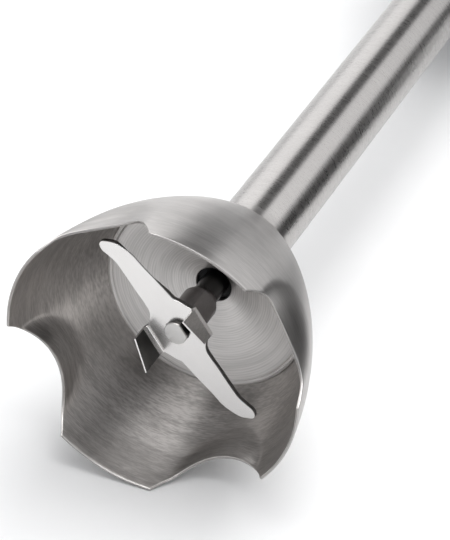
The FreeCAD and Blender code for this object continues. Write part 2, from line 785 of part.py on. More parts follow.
def make_armature():
    core = new_body("armature_core")
    outer = d.bore_radius - d.air_gap
    inner = d.motor_shaft_radius + d.fit_gap / 2
    ring(core, inner, outer, d.stack_bottom + 0.5, d.stack_top - 0.5)
    opening = rectangle(outer - d.slot_deep, outer + 1, -d.slot_half, d.slot_half)
    slot = raised(core, [opening], d.stack_bottom, d.stack_top - d.stack_bottom, "Pocket", flip=True)
    repeat_around(core, slot, CORE_SLOTS)
    finish(core)
    winding = new_body("armature_windings")
    for bottom in (d.stack_bottom + 0.4 - d.winding_height, d.stack_top - 0.4):
        turned(winding, [
            (inner + 2, bottom),
            (d.winding_radius - 2, bottom),
            (d.winding_radius, bottom + 2),
            (d.winding_radius, bottom + d.winding_height - 2),
            (d.winding_radius - 2, bottom + d.winding_height),
            (inner + 2, bottom + d.winding_height),
        ])
    finish(winding)
    commutator = new_body("commutator")
    ring(commutator, inner, d.commutator_radius, d.commutator_bottom,
         d.commutator_bottom + d.commutator_height)
    outline = rectangle(d.commutator_radius - d.bar_gap_deep, d.commutator_radius + 1,
                        -d.bar_gap_half, d.bar_gap_half)
    gap = raised(commutator, [outline], d.commutator_bottom - 1, d.commutator_height + 2,
                 "Pocket", flip=True)
    repeat_around(commutator, gap, COMMUTATOR_BARS)
    finish(commutator)


def make_fan():
    """Fan on the motor shaft: a thin plate with straight blades."""
    fan = new_body("cooling_fan")
    inner = d.motor_shaft_radius + d.fit_gap / 2
    hub = inner + d.fan_hub
    turned(fan, [
        (inner, d.fan_bottom), (d.fan_radius, d.fan_bottom),
        (d.fan_radius, d.fan_bottom + d.fan_plate), (hub, d.fan_bottom + d.fan_plate),
        (hub, d.fan_bottom + d.fan_height), (inner, d.fan_bottom + d.fan_height),
    ])
    half = d.fan_blade / 2
    root = d.fan_bottom + d.fan_plate / 2
    blade = raised(fan, [rectangle(hub - 1, d.fan_radius - 0.3, -half, half)],
                   root, d.fan_bottom + d.fan_height - root)
    repeat_around(fan, blade, FAN_BLADES)
    finish(fan)


def motor_screw_holes():
    """Circles for the two long screws that clamp the motor, through the middle of the yoke."""
    away = d.motor_radius - d.yoke_wall / 2
    return [(0, side * away, d.screw_radius + d.fit_gap) for side in (1, -1)]


def make_stator():
    """Ring of laminations with two pole arms, and a coil round each arm."""
    core = new_body("stator_core")
    yoke = d.motor_radius - d.yoke_wall
    length = d.stack_top - d.stack_bottom
    ring(core, yoke, d.motor_radius, d.stack_bottom, d.stack_top)
    half = d.pole_half_width
    for side in (1, -1):
        raised(core, [rectangle(side * (d.bore_radius - 2), side * (yoke + 1), -half, half)],
               d.stack_bottom, length)
    raised(core, [(0, 0, d.bore_radius)], d.stack_bottom - 1, length + 2, "Pocket", flip=True)
    raised(core, motor_screw_holes(), d.stack_bottom - 1, length + 2, "Pocket", flip=True)
    finish(core)
    coils = []
    for side in (1, -1):
        inner, outer = side * (d.bore_radius + 1.3), side * (yoke - 0.3)
        low, high = (inner, outer) if side > 0 else (outer, inner)
        reach = half + d.coil_wall
        over = d.coil_overhang
        block = box("coil_block", (low, high), (-reach, reach),
                    (d.stack_bottom - over, d.stack_top + over))
        window = box("coil_window", (low - 1, high + 1), (-half - 0.1, half + 0.1),
                     (d.stack_bottom - 0.1, d.stack_top + 0.1))
        yoke_room = cylinder("coil_room", yoke - 0.15, length + 4 * over, 0, 0,
                             d.stack_bottom - 2 * over)
        coils.append(common("coil", cut("coil_loop", block, window), yoke_room))
    finish(group("field_coils", coils))


def make_brackets():
    """Two moulded end brackets that hold the bearings and clamp the stator."""
    rim = d.motor_radius - d.yoke_wall
    seat = d.bearing_radius + d.fit_gap
    front = new_body("front_bracket")
    turned(front, [
        (seat, d.front_hub_bottom),
        (seat + d.hub_wall, d.front_hub_bottom),
        (seat + d.hub_wall, d.front_web),
        (d.motor_radius, d.front_web),
        (d.motor_radius, d.stack_bottom - d.fit_gap),
        (rim, d.stack_bottom - d.fit_gap),
        (rim, d.front_web + d.web_thick),
        (d.motor_shaft_radius + d.shaft_clear, d.front_web + d.web_thick),
        (d.motor_shaft_radius + d.shaft_clear, d.front_web),
        (seat, d.front_web),
    ])
    hole = raised(front, [(d.vent_hole_away, 0, d.vent_hole_radius)], d.front_web - 1,
                  d.web_thick + 2, "Pocket", flip=True)
    repeat_around(front, hole, 6)
    raised(front, motor_screw_holes(), d.front_web - 1,
           d.stack_bottom - d.front_web + 2, "Pocket", flip=True)
    finish(front)
    rear = new_body("rear_bracket")
    turned(rear, [
        (rim, d.stack_top + d.fit_gap),
        (d.motor_radius, d.stack_top + d.fit_gap),
        (d.motor_radius, d.rear_web + d.web_thick),
        (seat + d.hub_wall, d.rear_web + d.web_thick),
        (seat + d.hub_wall, d.rear_hub_top),
        (seat, d.rear_hub_top),
        (seat, d.rear_web + d.web_thick),
        (d.motor_shaft_radius + d.shaft_clear, d.rear_web + d.web_thick),
        (d.motor_shaft_radius + d.shaft_clear, d.rear_web),
        (rim, d.rear_web),
    ])
    wide = d.brush_width / 2 + d.holder_wall + d.window_clear
    tall = d.brush_depth / 2 + d.holder_wall + d.window_clear
    window = rectangle(-wide, wide, d.brush_height - tall, d.brush_height + tall)
    reach = d.motor_radius + 2
    raised(rear, [window], -reach, reach * 2, "Pocket", "YZ_Plane", flip=True)
    raised(rear, motor_screw_holes(), d.stack_top - 1,
           d.rear_web + d.web_thick - d.stack_top + 2, "Pocket", flip=True)
    finish(rear)
    for label, bottom in (("front_bearing", d.front_web - d.bearing_height - d.bearing_gap),
                          ("rear_bearing", d.rear_web + d.web_thick + d.bearing_gap)):
        bearing = new_body(label)
        ring(bearing, d.motor_shaft_radius + d.fit_gap, d.bearing_radius,
             bottom, bottom + d.bearing_height)
        finish(bearing)
    hub = seat + d.hub_wall
    for label, bottom in (("front_damper", d.front_hub_bottom + 1),
                          ("rear_damper", d.rear_web + d.web_thick + 1)):
        damper = new_body(label)
        ring(damper, hub + d.fit_gap, hub + d.damper_wall, bottom, bottom + d.damper_height)
        finish(damper)


def make_motor_screws():
    screws = []
    for side in (1, -1):
        spot = side * (d.motor_radius - d.yoke_wall / 2)
        length = d.rear_web + d.web_thick - d.front_web - 4
        shank = cylinder("motor_screw_shank", d.screw_radius, length, 0, spot, d.front_web + 4)
        top = d.rear_web + d.web_thick
        head = cylinder("motor_screw_head", d.motor_head, d.head_height, 0, spot, top + d.fit_gap)
        neck = cylinder("motor_screw_neck", d.screw_radius, 1, 0, spot, top - 0.5)
        screws.append(fuse("motor_screw", [shank, neck, head]))
    finish(group("motor_screws", screws))


def make_brushes():
    """Brass holder, carbon and coil spring on each side of the commutator."""
    holders, carbons, springs = [], [], []
    wide, tall = d.brush_width / 2, d.brush_depth / 2
    contact = d.commutator_radius + d.fit_gap * 2

    def block(name, side, near, far, grow):
        """Block on one side of the axis, as wide and tall as a carbon and grown all round."""
        across = (near, far) if side > 0 else (-far, -near)
        return box(name, across, (-wide - grow, wide + grow),
                   (d.brush_height - tall - grow, d.brush_height + tall + grow))

    for side in (1, -1):
        outer = block("holder_outer", side, d.holder_start, d.holder_end, d.holder_wall)
        inner = block("holder_inner", side, contact, d.holder_end - d.holder_wall, d.fit_gap)
        holders.append(cut("brush_holder", outer, inner))
        carbons.append(block("carbon", side, contact, d.carbon_end, size_of(0)))
        start = side * (d.carbon_end + d.brush_spring_wire + d.fit_gap)
        springs.append(coil("brush_spring", d.brush_spring_radius, d.brush_spring_wire,
                            d.brush_spring_length, SPRING_TURNS, start, 0, d.brush_height,
                            FreeCAD.Rotation(FreeCAD.Vector(0, 1, 0), 90 * side)))
    finish(group("brush_holders", holders))
    finish(group("carbon_brushes", carbons))
    finish(group("brush_springs", springs))


def coil(name, radius, wire, length, turns, across, depth, height, rotation):
    """Coil spring: a round wire swept along a helix."""
    length, radius, wire = size_of(length), size_of(radius), size_of(wire)
    spine = doc.addObject("Part::Helix", name + "_line")
    spine.Radius = radius.value
    spine.Height = length.value
    spine.Pitch = length.value / turns
    bind(spine, "Radius", radius)
    bind(spine, "Height", length)
    bind(spine, "Pitch", length / turns)
    section = doc.addObject("Part::Circle", name + "_wire")
    section.Radius = wire.value
    bind(section, "Radius", wire)
    section.Placement = FreeCAD.Placement(FreeCAD.Vector(radius.value, 0, 0),
                                          FreeCAD.Rotation(FreeCAD.Vector(1, 0, 0), 90))
    bind(section, "Placement.Base.x", radius)
    sweep = doc.addObject("Part::Sweep", name)
    sweep.Sections = [section]
    sweep.Spine = (spine, [])
    sweep.Solid = True
    sweep.Frenet = True
    return move(sweep, across, depth, height, rotation)


# ---------------------------------------------------------------- handle


def oval(name, half_width, half_depth, offset, height):
    """Oval section across the axis, wider front to back than side to side."""
    item = doc.addObject("Part::Ellipse", name)
    item.MajorRadius = size_of(half_depth).value
    item.MinorRadius = size_of(half_width).value
    bind(item, "MajorRadius", half_depth)
    bind(item, "MinorRadius", half_width)
    return move(item, 0, offset, height, FreeCAD.Rotation(FreeCAD.Vector(0, 0, 1), 90))


def handle_sections():
    """(height, half width, half depth, offset to the back) of the handle, nose to cap."""
    return [
        (d.housing_bottom, d.nose_radius, d.nose_radius + 0.01, size_of(0)),
        (d.housing_bottom + 24, d.nose_radius + 2.6, d.nose_radius + 3.2, d.grip_offset * 0.3),
        (d.housing_bottom + 58, d.grip_half_width - 0.4, d.grip_half_depth - 1, d.grip_offset * 0.9),
        (d.housing_bottom + 108, d.grip_half_width, d.grip_half_depth, d.grip_offset),
        (d.housing_top, d.grip_half_width - 1.6, d.grip_half_depth - 2.2, d.grip_offset * 0.7),
    ]


def lofted(name, sections):
    item = doc.addObject("Part::Loft", name)
    item.Sections = sections
    item.Solid = True
    item.Ruled = False
    return item


def handle_solid(name, growth):
    ovals = []
    for index, (height, width, depth, offset) in enumerate(handle_sections()):
        ovals.append(oval(name + "_oval_" + str(index), width + growth, depth + growth, offset, height))
    return lofted(name, ovals)


def screw_places():
    """(depth, height, how far out the head sits) of the screws that cross the housing."""
    return [
        (d.back_screws, d.low_screw, d.low_head),
        (d.back_screws, d.middle_screw, d.middle_head),
        (d.back_screws, d.high_screw, d.high_head),
        (d.front_screw, d.front_screw_height, d.front_head),
    ]


def button_hole(name, height, half_length):
    """Rounded slot through the front of the handle."""
    body = new_body(name)
    button_prism(body, height, half_length, d.button_clear, 20, 45)
    return body


def button_prism(body, height, half_length, clear, inner, outer):
    """Upright block with round ends, from depth -outer to -inner, on the button's outline."""
    half = d.button_half_width + clear
    straight = half_length - d.button_half_width
    bow = half * HALF_CIRCLE
    outline = [(half, height - straight), (half, height + straight, bow),
               (-half, height + straight), (-half, height - straight, bow)]
    return raised(body, [outline], inner, size_of(outer) - inner, role="XZ_Plane", flip=False)


def make_vents():
    """Slots on both sides of the handle, over the fan."""
    vents = []
    inner = d.nose_radius / 3
    for step in range(VENTS):
        low = d.vent_bottom + step * d.vent_step
        for across in ((inner, d.grip_half_width + 2), (-d.grip_half_width - 2, -inner)):
            vents.append(box("vent", across, (-d.vent_half_length, d.vent_half_length),
                             (low, low + d.vent_width)))
    return vents


def make_housing():
    outside = handle_solid("housing_outside", 0)
    inside = handle_solid("housing_inside", -d.housing_wall)
    wide = deep = d.grip_half_depth * 2
    low, high = d.housing_bottom - 5, d.total_length + 5
    flat = box("rest_flat", (-wide, wide), (d.axis_height, d.axis_height + deep), (low, high))
    holes = [button_hole("power_hole", d.power_height, d.power_half_length),
             button_hole("turbo_hole", d.turbo_height, d.turbo_half_length)]
    posts, wells, bores = [], [], []
    well = d.screw_head + d.well_wall
    for depth, height, head in screw_places():
        posts.append(cylinder("post", d.boss_outer, wide, -(wide / 2), depth, height, TO_X))
        wells.append(cylinder("screw_well", well, wide, head - d.well_base, depth, height, TO_X))
        bores.append(cylinder("screw_bore", d.screw_radius + d.fit_gap, head + d.screw_end + d.bore_spare,
                              -d.screw_end - d.bore_spare, depth, height, TO_X))
        bores.append(cylinder("head_bore", d.screw_head + d.head_clear, wide, head, depth,
                              height, TO_X))
    shell = cut("housing_shell", outside, inside)
    middle = handle_solid("housing_middle", -d.housing_wall / 2)
    posts_inside = common("posts_inside", fuse("posts", posts), middle)
    wells_inside = common("wells_inside", fuse("wells", wells), middle)
    solid = fuse("housing_solid", [shell, posts_inside, wells_inside])
    openings = fuse("housing_openings", holes + bores + make_vents() + [flat])
    bored = cut("housing_bored", solid, openings)
    left = box("left_side", (-wide, -d.fit_gap / 2), (-deep, deep), (low, high))
    right = box("right_side", (d.fit_gap / 2, wide), (-deep, deep), (low, high))
    finish(common("housing_left", bored, left))
    finish(common("housing_right", bored, right))
    return outside, fuse("button_holes", holes)


def make_button_panel(outside, holes):
    """Soft panel that stands a little proud of the front of the handle."""
    skin = cut("panel_skin", handle_solid("panel_outside", d.panel_proud),
               handle_solid("panel_inside", d.fit_gap))
    half = d.panel_half_width
    body = new_body("panel_outline")
    bow = half * HALF_CIRCLE
    outline = [(half, d.panel_bottom + half), (half, d.panel_top - half, bow),
               (-half, d.panel_top - half), (-half, d.panel_bottom + half, bow)]
    raised(body, [outline], 0, 60, role="XZ_Plane", flip=False)
    finish(cut("button_panel", common("panel_strip", skin, body), holes))


def make_housing_screws():
    screws = []
    slot = d.cross_width / 2
    for depth, height, head in screw_places():
        shank = cylinder("housing_screw_shank", d.screw_radius, head + d.screw_end,
                         -d.screw_end, depth, height, TO_X)
        cap = cylinder("housing_screw_head", d.screw_head, d.head_height,
                       head + d.fit_gap, depth, height, TO_X)
        neck = cylinder("housing_screw_neck", d.screw_radius, 1, head - 0.5, depth, height, TO_X)
        top = head + d.head_height
        across = (top - d.cross_depth, top + 1)
        cross = [box("cross", across, (depth - one, depth + one), (height - other, height + other))
                 for one, other in ((d.cross_half, slot), (slot, d.cross_half))]
        blank = fuse("screw_blank", [shank, neck, cap])
        screws.append(cut("housing_screw", blank, fuse("crosses", cross)))
    finish(group("housing_screws", screws))


# how far the cap has drawn in at each share of its height
CAP_PROFILE = [(0.0, 0.0), (0.455, 0.5), (0.782, 1.8), (0.945, 3.6), (1.0, 5.6)]


def make_end_cap():
    """Domed cap with a sunk seat for the dial and the hole for the cord's bush."""
    _, width, depth, offset = handle_sections()[-1]
    low = d.housing_top + d.fit_gap
    outer = [oval("cap_oval", width - inset, depth - inset, offset, low + share * d.cap_height)
             for share, inset in CAP_PROFILE]
    dome = lofted("cap_dome", outer)
    reach = d.grip_half_depth * 2
    flat = box("cap_flat", (-reach, reach), (d.axis_height, d.axis_height + reach),
               (low - 10, d.total_length + 10))
    wall = d.cap_wall
    hollow = lofted("cap_hollow", [
        oval("cap_inner_low", width - wall, depth - wall, offset, low - 1),
        oval("cap_inner_high", width - wall - 0.4, depth - wall - 0.4, offset, low + 4),
    ])
    seat = cylinder("dial_seat", d.dial_radius + d.seat_clear, 20, 0, -d.dial_offset,
                    d.dial_bottom - d.seat_clear)
    stem = cylinder("dial_stem_hole", d.stem_radius + 0.6, 20, 0, -d.dial_offset, low - 2)
    inlet = cylinder("inlet_hole", d.inlet_radius + d.inlet_wall + d.fit_gap, 30, 0,
                     d.inlet_offset, low - 2)
    finish(cut("end_cap", dome, fuse("cap_openings", [hollow, flat, seat, stem, inlet])))


def make_cord_bush():
    """Short flanged bush where the supply cord would enter."""
    bush = new_body("cord_bush")
    wall = d.inlet_radius + d.inlet_wall
    flange = wall + d.bush_wide
    low, top = d.housing_top + 2, d.housing_top + d.cap_height + d.bush_proud
    turned(bush, [
        (d.inlet_radius, low), (flange, low), (flange, low + d.bush_flange),
        (wall, low + d.bush_flange), (wall, top - d.edge_break), (wall - d.edge_break, top),
        (d.inlet_radius, top),
    ])
    finish(bush, d.inlet_offset)


# ---------------------------------------------------------------- controls


def make_button(label, height, half_length):
    """Button with a flange inside the handle and a stem that reaches its switch."""
    button = new_body(label)
    button_prism(button, height, half_length, 0, d.button_flange - 0.5, d.button_front)
    front = button.Tip
    doc.recompute()
    rim = ["Edge" + str(index + 1) for index, edge in enumerate(front.Shape.Edges)
           if abs(edge.BoundBox.YMax + d.button_front.value) < 0.01]
    fillet = button.newObject("PartDesign::Fillet", label + "_edge")
    fillet.Base = (front, rim)
    fillet.Radius = d.button_edge.value
    bind(fillet, "Radius", d.button_edge)
    step = d.flange_step
    half = d.button_half_width + step
    flange = [rectangle(-half, half, height - half_length - step, height + half_length + step)]
    raised(button, flange, d.button_flange - d.flange_thick, d.flange_thick, role="XZ_Plane")
    stem = rectangle(-d.stem_half, d.stem_half, height - d.stem_half, height + d.stem_half)
    raised(button, [stem], d.stem_end, d.button_flange - d.stem_end, role="XZ_Plane")
    finish(button)


def square_block(name, half, depth, height):
    return box(name, (-half, half), depth, (height - half, height + half))


def make_switch(label, height):
    """Small snap switch on the board, with its plunger under the button's stem."""
    board = d.board_front + d.fit_gap
    case = box(label + "_case", (-d.switch_half_width, d.switch_half_width),
               (-d.switch_top, -board), (height - d.switch_half_length, height + d.switch_half_length))
    well = square_block(label + "_well", d.well_half, (-d.switch_top - 1, -d.well_floor), height)
    finish(cut(label, case, well))
    pin = square_block(label + "_pin", d.plunger_half,
                       (d.fit_gap * 2 - d.stem_end, -d.plunger_end), height)
    finish(group(label.replace("switch", "plunger"), [pin]))


def make_button_springs(label, height):
    """Two coil springs between the board and the button's flange."""
    low = d.board_front + d.spring_wire + 0.1
    high = d.button_flange - d.flange_thick - d.spring_wire - 0.1
    springs = []
    for side in (-1, 1):
        springs.append(coil(label + "_coil", d.spring_radius, d.spring_wire, high - low, 5,
                            side * d.spring_side, -low, height,
                            FreeCAD.Rotation(FreeCAD.Vector(1, 0, 0), 90)))
    finish(group(label, springs))


# what stands on the back of the board: (left, right), thickness, (bottom, top)
CAPACITOR = ((-13, -3), 9.0, (358, 376))
TRIAC = ((3, 13), 4.5, (360, 369))
TRIAC_TAB = ((3, 13), 1.3, (368.5, 376))


def on_board(name, across, thickness, heights):
    back = d.board_thick - d.board_front + d.fit_gap
    return box(name, across, (back, back + thickness), heights)


def make_board():
    board = box("board_plate", (-d.board_half_width, d.board_half_width),
                (-d.board_front, d.board_thick - d.board_front), (d.board_bottom, d.board_top))
    finish(group("circuit_board", [board]))
    finish(group("suppression_capacitor", [on_board("capacitor_block", *CAPACITOR)]))
    finish(fuse("speed_triac", [on_board("triac", *TRIAC), on_board("triac_tab", *TRIAC_TAB)]))
    choke = cylinder("choke_rod", d.choke_radius, d.choke_length, 4,
                     d.board_thick - d.board_front + d.choke_radius + d.fit_gap * 3, d.choke_height)
    finish(group("filter_choke", [choke]))


def make_dial():
    """Knob of the speed control, with grip grooves, its stem and the control under it."""
    low = d.dial_bottom
    dial = new_body("speed_dial")
    turned(dial, [
        (0, low), (d.dial_radius, low), (d.dial_radius, d.total_length - d.dial_edge),
        (d.dial_radius - d.dial_edge, d.total_length), (0, d.total_length),
    ])
    groove = raised(dial, [(d.dial_radius + 0.5, 0, d.grip_groove)], low - 1,
                    d.total_length - low + 2, "Pocket", flip=True)
    repeat_around(dial, groove, GRIP_GROOVES)
    raised(dial, [(0, 0, d.stem_radius + d.fit_gap / 2)], low - 1, 5, "Pocket", flip=True)
    pointer = rectangle(-d.pointer_half, d.pointer_half, d.pointer_margin - d.dial_radius,
                        -d.pointer_inner)
    raised(dial, [pointer], d.total_length - d.pointer_deep, 2, "Pocket", flip=True)
    finish(dial, -d.dial_offset)
    stem = new_body("dial_stem")
    turned(stem, [(0, d.control_bottom + 1.6), (d.stem_radius, d.control_bottom + 1.6),
                  (d.stem_radius, low + 3.8), (0, low + 3.8)])
    finish(stem, -d.dial_offset)
    control = new_body("speed_control")
    top = d.housing_top + 3.4
    turned(control, [
        (0, d.control_bottom), (d.control_radius, d.control_bottom), (d.control_radius, top),
        (d.stem_radius + d.fit_gap, top), (d.stem_radius + d.fit_gap, d.control_bottom + 1.4),
        (0, d.control_bottom + 1.4),
    ])
    finish(control, -d.dial_offset)


def make_all():
    make_bell()
    make_cover_disc()
    make_arm_tube()
    shoulder = make_bearing_carrier()
    make_shaft_guides()
    make_drive_shaft(shoulder)
    make_blade()
    make_hub()
    make_driven_coupling()
    make_collar()
    make_nose()
    make_drive_coupling()
    make_motor_shaft()
    make_armature()
    make_fan()
    make_stator()
    make_brackets()
    make_motor_screws()
    make_brushes()
    outside, holes = make_housing()
    make_button_panel(outside, holes)
    make_housing_screws()
    make_end_cap()
    make_cord_bush()
    make_dial()
    make_board()
    make_button("power_button", d.power_height, d.power_half_length)
    make_button("turbo_button", d.turbo_height, d.turbo_half_length)
    make_switch("power_switch", d.power_height)
    make_switch("turbo_switch", d.turbo_height)
    make_button_springs("power_springs", d.power_height)
    make_button_springs("turbo_springs", d.turbo_height)


make_all()
doc.recompute()


def failures():
    """Names of objects that did not build, and of nodes whose shape cannot be used."""
    names = [item.Name for item in doc.Objects if "Invalid" in item.State or "Error" in item.State]
    for item in NODES:
        if item.Shape.isNull() or not item.Shape.isValid() or not item.Shape.Solids:
            names.append(item.Label)
    return names


if failures():
    raise RuntimeError("did not build: " + ", ".join(failures()))

os.makedirs("parts", exist_ok=True)
for item in NODES:
    item.Shape.exportStep("parts/" + item.Label + ".step")
    print(item.Label, round(item.Shape.Volume, 1), "mm3,", len(item.Shape.Solids), "solid(s)")
print(len(NODES), "nodes")
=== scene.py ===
import json
import math

import bmesh
import bpy
from mathutils import Matrix, Vector
from mathutils.geometry import tessellate_polygon


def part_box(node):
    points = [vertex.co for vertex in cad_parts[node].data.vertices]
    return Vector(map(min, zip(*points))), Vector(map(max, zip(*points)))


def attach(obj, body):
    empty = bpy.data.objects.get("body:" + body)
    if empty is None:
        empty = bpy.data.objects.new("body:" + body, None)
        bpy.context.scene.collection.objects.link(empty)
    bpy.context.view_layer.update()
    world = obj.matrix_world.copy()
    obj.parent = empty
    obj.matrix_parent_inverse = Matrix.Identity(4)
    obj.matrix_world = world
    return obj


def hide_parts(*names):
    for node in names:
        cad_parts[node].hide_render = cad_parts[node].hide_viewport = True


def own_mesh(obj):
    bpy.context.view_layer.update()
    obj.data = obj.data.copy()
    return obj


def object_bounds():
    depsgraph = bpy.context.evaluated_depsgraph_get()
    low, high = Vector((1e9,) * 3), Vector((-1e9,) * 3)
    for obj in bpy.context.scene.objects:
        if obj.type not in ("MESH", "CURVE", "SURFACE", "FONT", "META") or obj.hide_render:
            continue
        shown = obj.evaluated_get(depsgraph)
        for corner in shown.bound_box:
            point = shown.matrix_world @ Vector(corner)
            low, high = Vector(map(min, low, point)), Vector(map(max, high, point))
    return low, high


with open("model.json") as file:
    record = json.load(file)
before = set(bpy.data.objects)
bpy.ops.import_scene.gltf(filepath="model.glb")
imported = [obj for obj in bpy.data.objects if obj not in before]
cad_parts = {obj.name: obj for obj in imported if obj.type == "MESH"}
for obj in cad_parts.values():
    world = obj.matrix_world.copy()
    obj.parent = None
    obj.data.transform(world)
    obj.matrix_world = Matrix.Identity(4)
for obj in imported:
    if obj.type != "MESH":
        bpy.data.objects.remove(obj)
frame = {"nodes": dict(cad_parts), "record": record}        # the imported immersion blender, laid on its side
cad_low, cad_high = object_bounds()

# The tool lies along Y: the bell opens to -Y and the buttons look up.  Below, a point of a
# piece is (radius, height) or (across, front, height) in millimetres: height runs along the
# tool from the bell's rim to the end cap, and front is up, towards the buttons.

MM = 0.001
SAME_POINT = 0.001 * MM      # points nearer than this are one point
TUBE_LOW, TUBE_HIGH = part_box("arm_tube")
AXIS_Z = (TUBE_LOW.z + TUBE_HIGH.z) / 2
RIM_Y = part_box("bell")[0].y
TUBE_RADIUS = (TUBE_HIGH.x - TUBE_LOW.x) / 2 / MM


def height_of(y):
    """Height along the tool, in millimetres, of a place on the frame's Y axis."""
    return (y - RIM_Y) / MM


def place(across, front, height):
    """Point of the frame, in metres, from millimetres on the tool."""
    return Vector((across * MM, RIM_Y + height * MM, AXIS_Z + front * MM))


def around(radius, angle, height, front=0.0):
    """Point at an angle round an axis that lies front millimetres in front of the tool's own."""
    return place(radius * math.cos(angle), front + radius * math.sin(angle), height)


def full_turn(count):
    """Evenly spaced angles right round."""
    return [math.tau * step / count for step in range(count)]


# ---------------- making pieces

# a solid is a pair of lists: its points and its faces


def piece(name, solid, body, slot, replaced, crease=35, cuts=(), joined=(), finish=None):
    """A mesh piece that rides on a body, stands for CAD nodes and has its slot's finish or another.

    The solids in joined are added to it, and then the solids in cuts are taken away.
    """
    item = plain_mesh(name, *solid)
    if joined:
        carve(item, joined, "UNION")
    if cuts:
        carve(item, cuts, "DIFFERENCE")
    clean(item, crease)
    item.data.materials.append(finish or FINISHES[slot])
    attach(item, body)
    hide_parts(*replaced)
    return item


def repaint(item, material, chosen):
    """Gives another material to the faces for which chosen(face) is true."""
    item.data.materials.append(material)
    for face in item.data.polygons:
        if chosen(face):
            face.material_index = len(item.data.materials) - 1


def plain_mesh(name, points, faces):
    mesh = bpy.data.meshes.new(name)
    mesh.from_pydata([tuple(point) for point in points], [], faces)
    item = bpy.data.objects.new(name, mesh)
    bpy.context.scene.collection.objects.link(item)
    return item


def carve(item, solids, operation):
    """Cuts solids from a mesh or joins them to it, and keeps the result as its own mesh."""
    tool = plain_mesh("tool", *merged(solids))
    for thing in (item, tool):
        work = bmesh.new()
        work.from_mesh(thing.data)
        bmesh.ops.remove_doubles(work, verts=work.verts, dist=SAME_POINT)
        bmesh.ops.recalc_face_normals(work, faces=work.faces)
        work.to_mesh(thing.data)
        work.free()
    change = item.modifiers.new("carve", "BOOLEAN")
    change.operation, change.solver, change.object = operation, "EXACT", tool
    graph = bpy.context.evaluated_depsgraph_get()
    result = bpy.data.meshes.new_from_object(item.evaluated_get(graph))
    before = item.data
    item.modifiers.clear()
    item.data = result
    bpy.data.meshes.remove(before)
    tool_mesh = tool.data
    bpy.data.objects.remove(tool)
    bpy.data.meshes.remove(tool_mesh)


def merged(solids):
    """Several solids as one."""
    points, faces = [], []
    for more_points, more_faces in solids:
        start = len(points)
        points += more_points
        faces += [tuple(start + index for index in face) for face in more_faces]
    return points, faces


def clean(item, crease):
    """Joins doubled points, turns every face outward and keeps corners sharp from crease degrees."""
    work = bmesh.new()
    work.from_mesh(item.data)
    bmesh.ops.remove_doubles(work, verts=work.verts, dist=2 * SAME_POINT)
    bmesh.ops.dissolve_degenerate(work, edges=work.edges, dist=SAME_POINT)
    bmesh.ops.recalc_face_normals(work, faces=work.faces)
    work.to_mesh(item.data)
    work.free()
    item.data.shade_smooth()
    item.data.set_sharp_from_angle(angle=math.radians(crease))


def sweep(rings, closed=False):
    """Faces between rings of points that are all the same length and each run right round."""
    count = len(rings[0])
    points = [point for ring in rings for point in ring]
    faces = []
    for row in range(len(rings) - (0 if closed else 1)):
        low, high = row * count, (row + 1) % len(rings) * count
        for step in range(count):
            after = (step + 1) % count
            faces.append((low + step, low + after, high + after, high + step))
    return points, faces


def bow(start, corner, end, share):
    """Point that far along the curve from start to end that bends towards corner."""
    return start * (1 - share) ** 2 + corner * 2 * share * (1 - share) + end * share ** 2


def softened(corners):
    """Closed outline: a corner (a, b, radius) is rounded, and a corner (a, b) stays sharp."""
    steps, most = 4, 0.48    # a rounding takes at most this share of an edge
    outline = []
    for index, corner in enumerate(corners):
        here = Vector(corner[:2])
        if len(corner) == 2:
            outline.append(here)
            continue
        back = Vector(corners[index - 1][:2]) - here
        ahead = Vector(corners[(index + 1) % len(corners)][:2]) - here
        half = back.angle(ahead) / 2
        reach = min(corner[2] / math.tan(half), back.length * most, ahead.length * most)
        start, end = here + back.normalized() * reach, here + ahead.normalized() * reach
        outline += [bow(start, here, end, step / steps) for step in range(steps + 1)]
    return outline


def lathe(corners, segments, narrow=None, front=0.0):
    """Turned ring from a closed outline of (radius, height); narrow(angle, radius) trims it.

    Its own axis lies front millimetres in front of the tool's axis.
    """
    rings = []
    for radius, height in softened(corners):
        ring = []
        for angle in full_turn(segments):
            reach = narrow(angle, radius) if narrow else radius
            ring.append(around(reach, angle, height, front))
        rings.append(ring)
    return sweep(rings, closed=True)


def block(across, front, height, turn=0.0):
    """Box between pairs of limits, turned about the tool's axis."""
    points = []
    for level in height:
        for x, y in ((0, 0), (1, 0), (1, 1), (0, 1)):
            one, other = across[x], front[y]
            points.append(place(one * math.cos(turn) - other * math.sin(turn),
                                one * math.sin(turn) + other * math.cos(turn), level))
    faces = [(0, 3, 2, 1), (4, 5, 6, 7), (0, 1, 5, 4), (1, 2, 6, 5), (2, 3, 7, 6), (3, 0, 4, 7)]
    return points, faces


def capped(rings):
    """Sweep closed at both ends with one flat face each."""
    points, faces = sweep(rings)
    count = len(rings[0])
    return points, faces + [tuple(range(count)), tuple(range(len(points) - count, len(points)))]


def rod(radius, low, high, front, segments):
    """Cylinder along the tool."""
    return capped([[around(radius, angle, level, front) for angle in full_turn(segments)]
                   for level in (low, high)])


def cross_rod(radius, start, end, front, height):
    """Cylinder that lies across the tool."""
    return capped([[place(across, front + radius * math.cos(angle), height + radius * math.sin(angle))
                    for angle in full_turn(48)] for across in (start, end)])


# ---------------- materials


